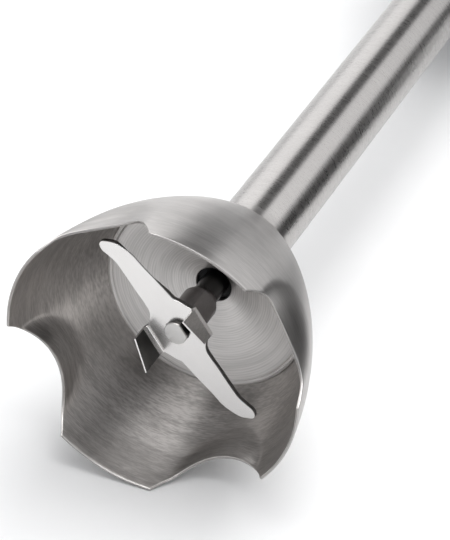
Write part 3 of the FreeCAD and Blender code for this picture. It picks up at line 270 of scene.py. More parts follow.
class Nodes:
    """A new material's node tree, with short ways to add and join its nodes."""

    def __init__(self, name):
        self.material = bpy.data.materials.new(name)
        self.material.use_nodes = True
        self.tree = self.material.node_tree
        self.shader = self.tree.nodes["Principled BSDF"]

    def add(self, kind, settings=None, **inputs):
        node = self.tree.nodes.new("ShaderNode" + kind)
        for key, value in (settings or {}).items():
            setattr(node, key, value)
        for key, value in inputs.items():
            self.put(value, node.inputs[key.replace("_", " ")])
        return node

    def put(self, value, socket):
        if isinstance(value, bpy.types.NodeSocket):
            self.tree.links.new(value, socket)
        else:
            socket.default_value = value

    def math(self, operation, first, second=0.0):
        node = self.tree.nodes.new("ShaderNodeMath")
        node.operation = operation
        self.put(first, node.inputs[0])
        self.put(second, node.inputs[1])
        return node.outputs[0]

    def noise(self, vector, scale, detail=3.0, rough=0.55):
        node = self.add("TexNoise", None, Vector=vector, Scale=scale, Detail=detail, Roughness=rough)
        return node.outputs["Fac"]

    def between(self, value, low, high, start=0.0, end=1.0):
        """Maps a value that runs from start to end onto low to high."""
        node = self.add("MapRange")
        for key, amount in (("Value", value), ("From Min", start), ("From Max", end),
                            ("To Min", low), ("To Max", high)):
            self.put(amount, node.inputs[key])
        return node.outputs["Result"]

    def blend(self, share, first, second):
        node = self.add("Mix", {"data_type": "RGBA"})
        self.put(share, node.inputs[0])
        self.put(first, node.inputs[6])
        self.put(second, node.inputs[7])
        return node.outputs[2]

    def bump(self, value, strength, distance):
        node = self.add("Bump", None, Strength=strength, Distance=distance, Height=value)
        return node.outputs["Normal"]

    def finish(self, **inputs):
        for key, value in inputs.items():
            self.put(value, self.shader.inputs[key.replace("_", " ")])
        return self.material


def shaded(tone, change):
    """Colour of a tone made lighter by a share, or darker where the share is below 0."""
    return tuple(part * (1 + change) for part in tone) + (1,)


def object_place(nodes):
    """Coordinates in millimetres about the tool's axis: x across, y along, z front."""
    coordinates = nodes.add("TexCoord").outputs["Object"]
    moved = nodes.add("Mapping", {"vector_type": "POINT"}, Vector=coordinates)
    moved.inputs["Location"].default_value = (0, -RIM_Y / MM, -AXIS_Z / MM)
    moved.inputs["Scale"].default_value = (1 / MM, 1 / MM, 1 / MM)
    return moved.outputs[0]


def grain_coordinates(nodes, spot, streak):
    """A place for noise that changes fast across the grain and slowly round the tool, and the radius.

    streak says how fast it changes round the tool.
    """
    across, along, front = nodes.add("SeparateXYZ", None, Vector=spot).outputs
    flat = nodes.add("CombineXYZ", None, X=across, Z=front).outputs[0]
    length = nodes.add("VectorMath", {"operation": "LENGTH"})
    nodes.put(flat, length.inputs[0])
    unit = nodes.add("VectorMath", {"operation": "NORMALIZE"})
    nodes.put(flat, unit.inputs[0])
    round_way = nodes.add("SeparateXYZ", None, Vector=unit.outputs[0])
    radius = length.outputs["Value"]
    radius_weight = 1.31
    level = nodes.math("ADD", nodes.math("MULTIPLY", radius, radius_weight), along)
    grain = nodes.add("CombineXYZ", None, X=nodes.math("MULTIPLY", round_way.outputs[0], streak),
                      Y=level, Z=nodes.math("MULTIPLY", round_way.outputs[2], streak)).outputs[0]
    return grain, radius


def brushed_steel(name, tone, rough, streak=1.6, fine=5.0, anisotropy=0.7, shade=0.10, pitch=None,
                  relief=0.0):
    """Satin steel with grain round the tool: streaks in colour, roughness and relief.

    With a pitch it also has turned rings that far apart.
    """
    nodes = Nodes(name)
    spot = object_place(nodes)
    grain, radius = grain_coordinates(nodes, spot, streak)
    thin = nodes.noise(grain, fine, 2.0, 0.55)
    broad = nodes.noise(grain, fine * 0.16, 2.0, 0.5)
    cloud = nodes.noise(spot, 0.06, 2.0, 0.5)
    streaks = nodes.math("ADD", nodes.math("MULTIPLY", thin, 0.6), nodes.math("MULTIPLY", broad, 0.4))
    height = thin
    if pitch:
        wander = nodes.noise(nodes.add("CombineXYZ", None, X=radius).outputs[0], 0.9)
        turn = nodes.math("ADD", nodes.math("MULTIPLY", radius, math.tau / pitch),
                          nodes.math("MULTIPLY", wander, 8.0))
        wave = nodes.math("MULTIPLY", nodes.math("SINE", turn), 0.07)
        streaks = nodes.math("ADD", streaks, wave)
        height = nodes.math("ADD", thin, wave)
    colour = nodes.blend(nodes.between(streaks, 0, 1, 0.4, 0.6), shaded(tone, -shade), shaded(tone, shade))
    colour = nodes.blend(nodes.between(cloud, 0, 0.5, 0.45, 0.75), colour, shaded(tone, -0.05))
    roughness = nodes.between(streaks, rough - 0.015, rough + 0.025, 0.4, 0.6)
    normal = nodes.bump(height, relief, 0.02 * MM)
    tangent = nodes.add("Tangent", {"direction_type": "RADIAL", "axis": "Y"}).outputs[0]
    return nodes.finish(Base_Color=colour, Metallic=1.0, Roughness=roughness, Normal=normal,
                        Anisotropic=anisotropy, Anisotropic_Rotation=0.25, Tangent=tangent)


def ground_steel(name, tone, rough, direction=(0.3, 1, 0.6), shade=0.03, relief=0.03, beyond=None):
    """Flat-ground metal with short straight marks.

    beyond is a height and the tone that it has above that height, used for painted shade.
    """
    nodes = Nodes(name)
    spot = object_place(nodes)
    stretch = nodes.add("Mapping", None, Vector=spot)
    stretch.inputs["Scale"].default_value = direction
    thin = nodes.noise(stretch.outputs[0], 3.2, 3.0, 0.55)
    cloud = nodes.noise(spot, 0.25, 2.0, 0.5)
    colour = nodes.blend(nodes.between(thin, 0, 1, 0.3, 0.7), shaded(tone, -shade), shaded(tone, shade))
    if beyond:
        height, painted_shade_tone = beyond
        along = nodes.add("SeparateXYZ", None, Vector=spot).outputs[1]
        colour = nodes.blend(nodes.between(along, 0, 1, height - 0.1, height + 0.1), colour, painted_shade_tone + (1,))
    roughness = nodes.between(cloud, rough - 0.03, rough + 0.05, 0.35, 0.65)
    normal = nodes.bump(thin, relief, 0.01 * MM)
    return nodes.finish(Base_Color=colour, Metallic=1.0, Roughness=roughness, Normal=normal)


def wound(name, tone, pitch):
    """Lacquered copper wire in layers, as fine ridges round the tool."""
    nodes = Nodes(name)
    spot = object_place(nodes)
    along = nodes.add("SeparateXYZ", None, Vector=spot).outputs[1]
    ridge = nodes.math("SINE", nodes.math("MULTIPLY", along, math.tau / pitch))
    uneven = nodes.noise(spot, 1.3, 3.0, 0.6)
    # the colour darkens between the turns of wire, painted shade, and also varies with uneven tone
    light = nodes.math("ADD", nodes.math("MULTIPLY", ridge, 0.3), uneven)
    colour = nodes.blend(nodes.between(light, 0, 1, 0.2, 0.8), shaded(tone, -0.45), tone + (1,))
    return nodes.finish(Base_Color=colour, Metallic=0.8, Roughness=nodes.between(uneven, 0.28, 0.4),
                        Normal=nodes.bump(ridge, 0.4, 0.05 * MM))


def moulded(name, tone, rough, grain=9.0, relief=0.3):
    """Moulded plastic or rubber with a fine etched skin and slightly uneven gloss."""
    nodes = Nodes(name)
    spot = object_place(nodes)
    etched = nodes.noise(spot, grain, 3.0, 0.6)
    cloud = nodes.noise(spot, 0.12, 3.0, 0.55)
    colour = nodes.blend(nodes.between(cloud, 0, 1, 0.35, 0.7), shaded(tone, -0.14), shaded(tone, 0.12))
    roughness = nodes.between(nodes.math("ADD", nodes.math("MULTIPLY", etched, 0.4),
                                         nodes.math("MULTIPLY", cloud, 0.6)),
                              rough - 0.06, rough + 0.08, 0.35, 0.65)
    normal = nodes.bump(etched, relief, 0.02 * MM)
    return nodes.finish(Base_Color=colour, Metallic=0.0, Roughness=roughness, Normal=normal)


STEEL = (0.43, 0.415, 0.405)

# finishes that only parts of a piece have, some of them painted light or shade
# the inside of the bell: the bell's steel in a lighter tone, painted light in the hollow, with stronger grain
inner_steel_painted_light = brushed_steel("inner_steel_painted_light", (0.50, 0.483, 0.47), 0.30, streak=2.4, fine=6.4, shade=0.18)
# the wings' inner faces: the blade's steel painted nearly black, painted shade
wing_inner_painted_shade = ground_steel("wing_inner_painted_shade", (0.09, 0.088, 0.085), 0.30, relief=0.02)
# the wings' outer faces: the blade's steel in a darker tone, painted shade
wing_outer_painted_shade = ground_steel("wing_outer_painted_shade", (0.47, 0.46, 0.45), 0.30, direction=(1, 0.3, 1), shade=0.12)
cut_edge = ground_steel("cut_edge", (0.16, 0.155, 0.15), 0.42, shade=0.2, relief=0.1)
# the shaft's steel painted near black above the stub's face, in the blade's hole and the hub: painted shade
shaft_painted_shade = ground_steel("shaft_steel", (0.52, 0.51, 0.50), 0.34, beyond=(13.4, (0.07, 0.068, 0.066)))

# the finish of each material slot
FINISHES = {
    "bell_steel": brushed_steel("bell_steel", STEEL, 0.33, anisotropy=0.85),
    "tube_steel": brushed_steel("tube_steel", STEEL, 0.28, fine=6.0, shade=0.06, relief=0.02),
    "disc_steel": brushed_steel("disc_steel", (0.50, 0.485, 0.475), 0.30, streak=0.6, fine=2.6,
                                anisotropy=0.75, shade=0.12, pitch=0.55, relief=0.03),
    "trim_chrome": brushed_steel("trim_chrome", (0.72, 0.71, 0.70), 0.16, anisotropy=0.3, relief=0.02),
    "blade_steel": ground_steel("blade_steel", (0.72, 0.705, 0.695), 0.22, shade=0.015, relief=0.0),
    "hub_dark": ground_steel("hub_dark", (0.24, 0.226, 0.222), 0.36, direction=(1, 0.3, 1), shade=0.06),
    "shaft_steel": ground_steel("bar_steel", (0.60, 0.59, 0.58), 0.3),
    "lamination": ground_steel("lamination", (0.26, 0.27, 0.29), 0.4, direction=(0.15, 5.0, 0.15),
                               shade=0.25, relief=0.3),
    "copper": wound("copper", (0.62, 0.27, 0.12), 0.7),
    "housing_plastic": moulded("housing_plastic", (0.032, 0.033, 0.035), 0.46, relief=0.35),
    "panel_rubber": moulded("panel_rubber", (0.055, 0.056, 0.058), 0.62, grain=6.0, relief=0.4),
    "clear_moulding": moulded("pale_moulding", (0.62, 0.61, 0.58), 0.42),
}
METALS = {
    "bush_bronze": ((0.55, 0.36, 0.17), 0.38),
    "brass": ((0.70, 0.52, 0.22), 0.34),
    "screw_steel": ((0.56, 0.56, 0.57), 0.32),
    "spring_steel": ((0.50, 0.50, 0.52), 0.3),
}
PLASTICS = {
    "collar_plastic": ((0.028, 0.029, 0.031), 0.40),
    "button_plastic": ((0.30, 0.30, 0.30), 0.38),
    "dial_plastic": ((0.16, 0.16, 0.165), 0.40),
    "seal_rubber": ((0.012, 0.012, 0.012), 0.6),
    "component_plastic": ((0.05, 0.055, 0.07), 0.44),
    "bracket_plastic": ((0.48, 0.46, 0.41), 0.5),
    "carbon": ((0.02, 0.02, 0.02), 0.55),
    "board_green": ((0.04, 0.17, 0.09), 0.35),
    "capacitor_yellow": ((0.62, 0.42, 0.07), 0.35),
}
FINISHES.update({name: ground_steel(name, *look) for name, look in METALS.items()})
FINISHES.update({name: moulded(name, *look) for name, look in PLASTICS.items()})

# ---------------- bell

RIM_RADIUS = (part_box("bell")[1].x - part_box("bell")[0].x) / 2 / MM
BELL_WALL = 0.65
DOME = {"radius": 89.0, "start": (RIM_RADIUS, 0.0), "end": (16.3, 43.8)}
CROWN = {"radius": 60.0, "end": (10.3, 50.2)}
NECK_CORNER, NECK_HEIGHT = 51.4, 53.0
BELL_TOP = height_of(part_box("bell")[1].y)
NOTCH_RADIUS, NOTCH_DEPTH = 17.1, 8.7
FLUTE_RADIUS, FLUTE_AWAY, FLUTE_HEIGHT = 40.0, 70.6, 11.4
NOTCH_TURN = math.radians(24.3)
FLUTE_BLEND = 1.5


def arc_centre(start, end, radius):
    """Centre of the arc that bulges away from the tool's axis between two points."""
    start, end = Vector(start), Vector(end)
    half = (end - start) / 2
    away = Vector((-half.y, half.x)).normalized()
    return start + half + away * math.sqrt(radius ** 2 - half.length_squared)


DOME_CENTRE = arc_centre(DOME["start"], DOME["end"], DOME["radius"])
CROWN_CENTRE = arc_centre(DOME["end"], CROWN["end"], CROWN["radius"])


def dome_radius(height):
    """Outside radius of the dome and its crown, before the flutes."""
    if height <= DOME["end"][1]:
        return DOME_CENTRE.x + math.sqrt(DOME["radius"] ** 2 - (height - DOME_CENTRE.y) ** 2)
    return CROWN_CENTRE.x + math.sqrt(CROWN["radius"] ** 2 - (height - CROWN_CENTRE.y) ** 2)


def soft_least(first, second, blend):
    """The smaller of two values, rounded off where they are less than blend apart."""
    share = max(blend - abs(first - second), 0) / blend
    return min(first, second) - share * share * blend / 4


def from_notch(angle):
    """Angle from the middle of the nearest notch, in radians."""
    quarter = math.pi / 2
    return (angle - NOTCH_TURN + quarter / 2) % quarter - quarter / 2


def fluted_radius(angle, height):
    """Outside radius of the bell, with the four hollows pressed in above the notches."""
    radius = dome_radius(height)
    turn = from_notch(angle)
    inside = FLUTE_RADIUS ** 2 - (height - FLUTE_HEIGHT) ** 2 - (FLUTE_AWAY * math.sin(turn)) ** 2
    if inside <= 0:
        return radius
    return soft_least(radius, FLUTE_AWAY * math.cos(turn) - math.sqrt(inside), FLUTE_BLEND)


def edge_height(angle):
    """Height of the bell's edge above the rim plane, where a notch lifts it."""
    height = 0.0
    for _ in range(12):      # the notch and the dome meet where this settles
        side = fluted_radius(angle, height) * math.sin(abs(from_notch(angle)))
        if side >= NOTCH_RADIUS:
            return 0.0
        height = max(0.0, NOTCH_DEPTH - NOTCH_RADIUS + math.sqrt(NOTCH_RADIUS ** 2 - side ** 2))
    return height


def bell_angles():
    """Angles of the bell's columns, with one exactly at each end of every notch."""
    half = math.asin(math.sqrt(NOTCH_RADIUS ** 2 - (NOTCH_RADIUS - NOTCH_DEPTH) ** 2) / RIM_RADIUS)
    notch, lobe = 84, 64
    lobe_width = math.pi / 2 - 2 * half
    angles = []
    for quarter in range(4):
        middle = NOTCH_TURN + quarter * math.pi / 2
        angles += [middle - half + 2 * half * step / notch for step in range(notch)]
        angles += [middle + half + lobe_width * step / lobe for step in range(lobe)]
    return angles


def bell_heights():
    """Heights of the rows of the dome and then of its crown."""
    dome_rows, crown_rows = 60, 12
    low, high = DOME["end"][1], CROWN["end"][1]
    dome = [low * step / dome_rows for step in range(dome_rows + 1)]
    return dome + [low + (high - low) * step / crown_rows for step in range(1, crown_rows + 1)]


def neck_curve():
    """Points (radius, height) of the hollow curve from the crown to the tube."""
    start, steps = Vector(CROWN["end"]), 8
    corner, end = Vector((TUBE_RADIUS, NECK_CORNER)), Vector((TUBE_RADIUS, NECK_HEIGHT))
    curve = [bow(start, corner, end, step / steps) for step in range(1, steps + 1)]
    return curve + [Vector((TUBE_RADIUS, BELL_TOP))]


def make_bell():
    """Shell of the bell: its outside, the same surface set in by the wall, and the cut edge."""
    angles = bell_angles()
    edges = [edge_height(angle) for angle in angles]
    lifted = 34.0            # rows below this height rise over the notches
    outside = []
    for base in bell_heights():
        ring = []
        for angle, edge in zip(angles, edges):
            height = base + edge * max(0.0, 1 - base / lifted)
            ring.append(around(fluted_radius(angle, height), angle, height))
        outside.append(ring)
    outside += [[around(radius, angle, height) for angle in angles] for radius, height in neck_curve()]
    count = len(angles)
    inside = []
    for row, ring in enumerate(outside):
        below, above = outside[max(row - 1, 0)], outside[min(row + 1, len(outside) - 1)]
        shell = []
        for step, point in enumerate(ring):
            along = above[step] - below[step]
            across = ring[(step + 1) % count] - ring[step - 1]
            shell.append(point + across.cross(along).normalized() * BELL_WALL * MM)
        inside.append(shell)
    rim = rounded_rim(outside, inside)
    rings = outside[1:] + list(reversed(inside[1:])) + rim
    bell = piece("bell_shell", sweep(rings, closed=True), "arm", "bell_steel", ["bell"], crease=50)
    axis = Vector((0, 0, AXIS_Z))

    def inward(face):
        """True for a face that looks towards the tool's axis."""
        way = face.center - axis
        return face.normal.x * way.x + face.normal.z * way.z < -0.2 * math.hypot(way.x, way.z)

    # the faces inside the bell get the lighter steel: painted light
    repaint(bell, inner_steel_painted_light, inward)


def rounded_rim(outside, inside):
    """Rings over the bell's cut edge, from inside to outside: eased corners and a fine drawn line."""
    ease = 0.14
    profile = [(0.0, 1.0), (0.05, 0.35), (0.14, 0.0), (0.24, 0.0), (0.34, 1.1), (0.44, 0.0), (0.8, 0.0),
               (0.94, 0.35), (1.0, 1.0)]
    rings = []
    for from_inner, from_edge in profile:
        ring = []
        for step, outer in enumerate(outside[0]):
            inner = inside[0][step]
            up = (outside[1][step] - outer).normalized() * ease * MM * from_edge
            ring.append(inner.lerp(outer, from_inner) + up)
        rings.append(ring)
    return rings


def make_tube():
    wall, seam = 0.7, 0.02
    inner, low, top = TUBE_RADIUS - wall, BELL_TOP + seam, height_of(TUBE_HIGH.y)
    tube = lathe([(TUBE_RADIUS, low), (TUBE_RADIUS, top, 0.3), (inner, top), (inner, low)], 160)
    piece("tube_skin", tube, "arm", "tube_steel", ["arm_tube"])


# ---------------- cover disc


def make_disc():
    """Shallow cone with a groove and a rolled bead at its edge."""
    low, high = (height_of(corner.y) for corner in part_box("cover_disc"))
    edge = (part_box("cover_disc")[1].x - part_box("cover_disc")[0].x) / 2 / MM
    hole, wall = 4.3, 0.8
    face = low + 0.75
    # the groove, the bead and the back, from the disc's edge and face
    border = [(-1.05, 0.0, 0.1), (-0.9, 0.12, 0.1), (-0.75, -0.05, 0.1), (-0.5, -0.25, 0.2),
              (0.1, -0.2, 0.2), (0.35, 0.3), (-0.1, 1.1), (-2.3, 0.9)]
    outline = [(edge + out, face + up, *ease) for out, up, *ease in border]
    disc = lathe([(hole, high - wall, 0.3), *outline, (hole, high)], 256)
    piece("disc_plate", disc, "arm", "disc_steel", ["cover_disc"])


# ---------------- cutter

BLADE_TURN = math.radians(-56.4)
BLADE_FRONT = 14.4
BLADE_THICK = 1.1
BEND_LINE, BEND_INNER, BEND_ANGLE = 6.85, 0.4, math.radians(80)
BEND_START = BEND_LINE - BEND_INNER * math.tan(BEND_ANGLE / 2)
WING_LONG, WING_SHORT, WING_TAPER = 7.1, 4.6, 0.62
LAND, BEVEL, EASE = 0.3, 1.9, 0.1


def through(points, start, end, steps=6):
    """Smooth curve through points; start and end are the outline's neighbours beyond them."""
    line = [Vector(start)] + [Vector(point) for point in points] + [Vector(end)]
    curve = []
    for index in range(1, len(line) - 2):
        before, first, second, after = line[index - 1:index + 3]
        for step in range(steps):
            t = step / steps
            curve.append(0.5 * (2 * first + (second - before) * t
                                + (2 * before - 5 * first + 4 * second - after) * t * t
                                + (3 * first - before - 3 * second + after) * t ** 3))
    return curve + [Vector(points[-1])]


def half_blade():
    """(point, share of grinding) round one long arm and one wing, laid out flat.

    The arm runs towards -a, bends gently and ends in a rounded hook; its upper edge is ground
    from behind.  The other half is this one turned half round.
    """
    flat = 2 * BEND_START + BEND_INNER * BEND_ANGLE - BEND_LINE    # a bent wing's length starts here
    lower = through([(-3.4, BEND_START), (-4.9, 5.0), (-6.4, 4.0), (-8.6, 3.85), (-12.5, 4.1), (-17.5, 4.3),
                     (-20.0, 4.5), (-22.2, 5.3), (-23.8, 5.95), (-25.2, 5.75), (-25.8, 4.9),
                     (-25.4, 3.7), (-24.3, 1.85)], (-2.4, 8), (-22, 0.2))
    upper = through([(-24.3, 1.85), (-22.0, 0.25), (-20.0, -0.65), (-17.0, -1.3), (-13.5, -2.25),
                     (-9.4, -3.25), (-7.5, -3.75), (-6.3, -4.8), (-3.9, -BEND_START)],
                    (-25.4, 3.7), (-2.6, -8))
    fade, plain = 6, 20      # points over which the grinding fades, and unground ones at the end
    outline = [(point, 0.0) for point in lower]
    for index, point in enumerate(upper[1:-1]):
        ground = min(1.0, index / fade, max(0.0, (len(upper) - plain - index) / fade))
        outline.append((point, ground))
    wing = [(-3.9, -BEND_START), (-3.8, -flat - 1.2), (-4.3, -flat - WING_LONG), (3.2, -flat - WING_SHORT),
            (3.35, -flat - 1.2)]
    return outline + [(Vector(corner), 0.0) for corner in wing]


def offset_inward(outline, amounts):
    """Each point of an anticlockwise or clockwise outline moved towards its inside."""
    following = outline[1:] + outline[:1]
    area = sum(point.cross(after) for point, after in zip(outline, following))
    side = 1 if area > 0 else -1
    moved = []
    for index, point in enumerate(outline):
        first = (point - outline[index - 1]).normalized()
        second = (following[index] - point).normalized()
        normals = [Vector((-way.y, way.x)) * side for way in (first, second)]
        middle = (normals[0] + normals[1]).normalized()
        stretch = 1 / max(middle.dot(normals[0]), 0.6)
        moved.append(point + middle * amounts[index] * stretch)
    return moved


def bent(a, b, depth):
    """Place of a point of the flat pattern once both wings are bent towards the opening."""
    past = abs(b) - BEND_START
    if past <= 0:
        return a, b, BLADE_FRONT + depth
    turn = min(past / BEND_INNER, BEND_ANGLE)
    straight = max(past - BEND_INNER * BEND_ANGLE, 0)
    depth *= 1 - WING_TAPER * min(straight / WING_SHORT, 1)
    out = BEND_START + (BEND_INNER + depth) * math.sin(turn) + straight * math.cos(turn)
    forward = BEND_INNER - (BEND_INNER + depth) * math.cos(turn) + straight * math.sin(turn)
    return a, math.copysign(out, b), BLADE_FRONT - forward


def double_d(radius, flat):
    """Round outline with two flats, which face across the blade's long way."""
    limit, steps = math.acos(flat / radius), 10
    outline = []
    for side in (0, math.pi):
        for step in range(steps + 1):
            angle = side + limit + (math.pi - 2 * limit) * step / steps
            outline.append(Vector((radius * math.cos(angle), radius * math.sin(angle))))
    return outline


def make_blade():
    half = half_blade()
    outline = [point for point, _ in half] + [-point for point, _ in half]
    ground = [share for _, share in half] * 2
    loops = [
        (offset_inward(outline, [EASE] * len(outline)), [0.0] * len(outline)),
        (outline, [EASE] * len(outline)),
        (outline, [BLADE_THICK + (LAND - BLADE_THICK) * share for share in ground]),
        (offset_inward(outline, [BEVEL * share for share in ground]), [BLADE_THICK] * len(outline)),
    ]
    hole = double_d(2.92, 2.45)
    work = bmesh.new()

    def add_loop(points, depths):
        return [work.verts.new((point.x, point.y, depth)) for point, depth in zip(points, depths)]

    def add_walls(first, second):
        for index in range(len(first)):
            after = (index + 1) % len(first)
            corners = [first[index], first[after], second[after], second[index]]
            if (corners[0].co - corners[3].co).length < 1e-6:
                corners = corners[:3]
            work.faces.new(corners)

    def cover(loop, inner):
        both = loop + inner
        rings = [[vertex.co.to_2d().to_3d() for vertex in ring] for ring in (loop, inner)]
        for triangle in tessellate_polygon(rings):
            work.faces.new([both[corner] for corner in triangle])

    rows = [add_loop(*loop) for loop in loops]
    for first, second in zip(rows, rows[1:]):
        add_walls(first, second)
    holes = [add_loop(hole, [depth] * len(hole)) for depth in (0.0, BLADE_THICK)]
    add_walls(*holes)
    cover(rows[0], holes[0])
    cover(rows[-1], holes[-1])
    bmesh.ops.remove_doubles(work, verts=work.verts, dist=1e-4)
    bend_steps = 8
    for side in (1, -1):
        for step in range(bend_steps + 1):
            level = (BEND_START + BEND_INNER * BEND_ANGLE * step / bend_steps) * side
            bmesh.ops.bisect_plane(work, geom=work.verts[:] + work.edges[:] + work.faces[:],
                                   plane_co=(0, level, 0), plane_no=(0, 1, 0), dist=1e-5)
    cosine, sine = math.cos(BLADE_TURN), math.sin(BLADE_TURN)
    for vertex in work.verts:
        a, b, height = bent(*vertex.co)
        vertex.co = place(a * cosine + b * sine, a * sine - b * cosine, height)
    work.verts.index_update()
    points = [vertex.co.copy() for vertex in work.verts]
    faces = [tuple(vertex.index for vertex in face.verts) for face in work.faces]
    work.free()
    blade = piece("cutting_blade", (points, faces), "cutter", "blade_steel", ["blade"], crease=25)
    out = Vector((-math.sin(BLADE_TURN), 0, math.cos(BLADE_TURN)))

    def cut_wall(face):
        """True for a face round the edge of the flat part."""
        behind = height_of(face.center.y) - BLADE_FRONT
        return abs(face.normal.y) < 0.25 and 0 < behind < BLADE_THICK + 0.05

    def on_wing(face, outward):
        """True for a face of a wing that looks away from the axis, or at it for outward -1."""
        past_bend = height_of(face.center.y) < BLADE_FRONT - 0.8
        side = math.copysign(1, face.center.x * out.x + (face.center.z - AXIS_Z) * out.z)
        return past_bend and face.normal.dot(out) * side * outward > 0.8

    repaint(blade, cut_edge, cut_wall)
    # the wings' inner faces are painted nearly black: painted shade
    repaint(blade, wing_inner_painted_shade, lambda face: on_wing(face, -1))
    # the wings' outer faces are painted darker than the blade: painted shade
    repaint(blade, wing_outer_painted_shade, lambda face: on_wing(face, 1))


def flats(angle, radius, flat):
    """Radius of a bar with two flats that face across the blade's long way."""
    facing = abs(math.cos(angle - BLADE_TURN - math.pi / 2))
    return min(radius, flat / max(facing, 1e-6))


def make_hub():
    low, high = (height_of(corner.y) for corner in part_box("blade_hub"))
    flat, round_radius, top_radius, chamfer = 3.45, 4.21, 3.3, 2.0
    inner, wide_inner, step_height = 2.8, 3.06, 8.0

    def narrow(angle, radius):
        return soft_least(radius, flats(angle, math.inf, flat), 0.05) if radius > flat else radius

    hub = lathe([
        (inner, low), (round_radius, low, 0.25), *((round_radius, low + rise) for rise in (2, 4, 6, 8)),
        (round_radius, high - chamfer, 0.1), (top_radius, high, 0.1), (wide_inner, high),
        (wide_inner, low + step_height), (inner, low + step_height),
    ], 192, narrow)
    piece("hub_block", hub, "cutter", "hub_dark", ["blade_hub"], crease=30)


def make_shaft():
    low, high = (height_of(corner.y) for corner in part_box("drive_shaft"))
    stub, flat, radius, step = 2.75, 2.3, 3.0, 23.5
    outline = [(0.0, low), (stub, low, 0.35), (stub, step - 0.01), (radius, step), (radius, high, 0.3),
               (0.0, high)]
    rings = []
    for reach, height in softened(outline):
        rings.append([around(flats(angle, reach, flat) if height < step else reach, angle, height)
                      for angle in full_turn(96)])
    # the bar is painted near black above the stub's face: painted shade in the blade's hole and the hub
    piece("shaft_bar", sweep(rings), "cutter", "shaft_steel", ["drive_shaft"], crease=30, finish=shaft_painted_shade)


# ---------------- arm collar and handle

# (height, half width, half depth, how far its middle sits behind the axis) of the grip
GRIP = [(233.0, 24.0, 24.0, 0.0), (257.0, 26.6, 27.2, 0.6), (291.0, 29.6, 32.6, 1.8),
        (341.0, 30.0, 33.6, 2.0), (400.0, 28.4, 31.4, 1.4)]
GRIP_WALL = 2.2
REST = AXIS_Z / MM
SEAM = 0.03
# (height of the middle, half length) of each button, and what the two share
POWER, TURBO = (360.0, 11.0), (385.0, 8.5)
BUTTON_HALF, BUTTON_TOP, BUTTON_GAP, BUTTON_TRAVEL = 7.5, 34.6, 0.35, 2.5
SPRING_WIRE, SPRING_RADIUS = 0.35, 2.2
PANEL_HALF, PANEL_LOW, PANEL_HIGH = 13.0, 288.0, 396.0
DIAL_FRONT, INLET_FRONT = 9.0, -17.0
# (front, height, how far out the head sits) of the screws that cross the housing
SCREWS = [(-28.0, 300.0, 12.5), (-28.0, 344.0, 13.0), (-28.0, 388.0, 9.5), (17.3, 346.5, 19.5)]


def grip_size(height):
    """Half width, half depth and set-back of the grip at a height, on smooth curves."""
    index = next((i for i in range(len(GRIP) - 2) if height <= GRIP[i + 1][0]), len(GRIP) - 2)
    first, second = GRIP[index], GRIP[index + 1]
    before, after = GRIP[max(index - 1, 0)], GRIP[min(index + 2, len(GRIP) - 1)]
    span = second[0] - first[0]
    t = min(max((height - first[0]) / span, 0.0), 1.0)
    sizes = []
    for one, two, three, four in list(zip(before, first, second, after))[1:]:
        lead = (three - one) / (second[0] - before[0]) * span
        trail = (four - two) / (after[0] - first[0]) * span
        sizes.append(two * (1 + 2 * t) * (1 - t) ** 2 + lead * t * (1 - t) ** 2
                     + three * t * t * (3 - 2 * t) - trail * t * t * (1 - t))
    return sizes


def grip_point(angle, height, inset, least=0.0):
    """Point of the grip's outline, set in by inset; the back is flat where it meets the table."""
    width, depth, back = grip_size(height)
    across = max((width - inset) * math.cos(angle), least)
    return across, max((depth - inset) * math.sin(angle) - back, -REST)


def grip_front(across, height):
    """How far in front of the axis the grip's surface is."""
    width, depth, back = grip_size(height)
    return depth * math.sqrt(max(1 - (across / width) ** 2, 0)) - back


def half_ring(height, side, inset):
    """Closed outline of one half of the shell: over the outside, then back along the inside."""
    steps, corner = 96, math.radians(0.5)
    angles = [math.pi / 2] + [math.pi / 2 - corner - (math.pi - 2 * corner) * step / steps
                              for step in range(steps + 1)] + [-math.pi / 2]
    outer = [grip_point(angle, height, inset, SEAM) for angle in angles]
    for end in (0, -1):      # the edges along the seam are eased
        outer[end] = grip_point(angles[end], height, inset + 0.25, SEAM)
    inner = [grip_point(angle, height, GRIP_WALL, SEAM) for angle in reversed(angles)]
    return [place(across * side, front, height) for across, front in outer + inner]


def make_housing(side, name, node):
    """Half of the grip's shell, on side -1 or 1, with its vents and button holes.

    The screws go in from side 1, so their wells are there.
    """
    low, high = GRIP[0][0], GRIP[-1][0]
    count, ease = 110, 0.3
    heights = [(low, ease), (low + ease, 0.0)]
    heights += [(low + (high - low) * step / count, 0.0) for step in range(1, count)]
    heights += [(high - ease, 0.0), (high, ease)]
    rings = [half_ring(height, side, inset) for height, inset in heights]
    points, faces = sweep(rings)
    length = len(rings[0])
    last = len(points) - length
    for index in range(length // 2 - 1):
        edge = (index, index + 1, length - 2 - index, length - 1 - index)
        faces += [edge, tuple(last + corner for corner in reversed(edge))]
    vent_half, vent_width, vents = 9.0, 2.0, [252.0 + 5.0 * step for step in range(6)]
    cuts = [block((8.0 * side, 40.0 * side), (-vent_half, vent_half), (level, level + vent_width))
            for level in vents]
    cuts += button_holes()
    joined = []
    if side > 0:
        joined = [well_wall(*screw) for screw in SCREWS]
        cuts += [cross_rod(2.85, head, 45.0, front, height) for front, height, head in SCREWS]
    piece(name, (points, faces), "motor_body", "housing_plastic", [node], cuts=cuts, joined=joined)


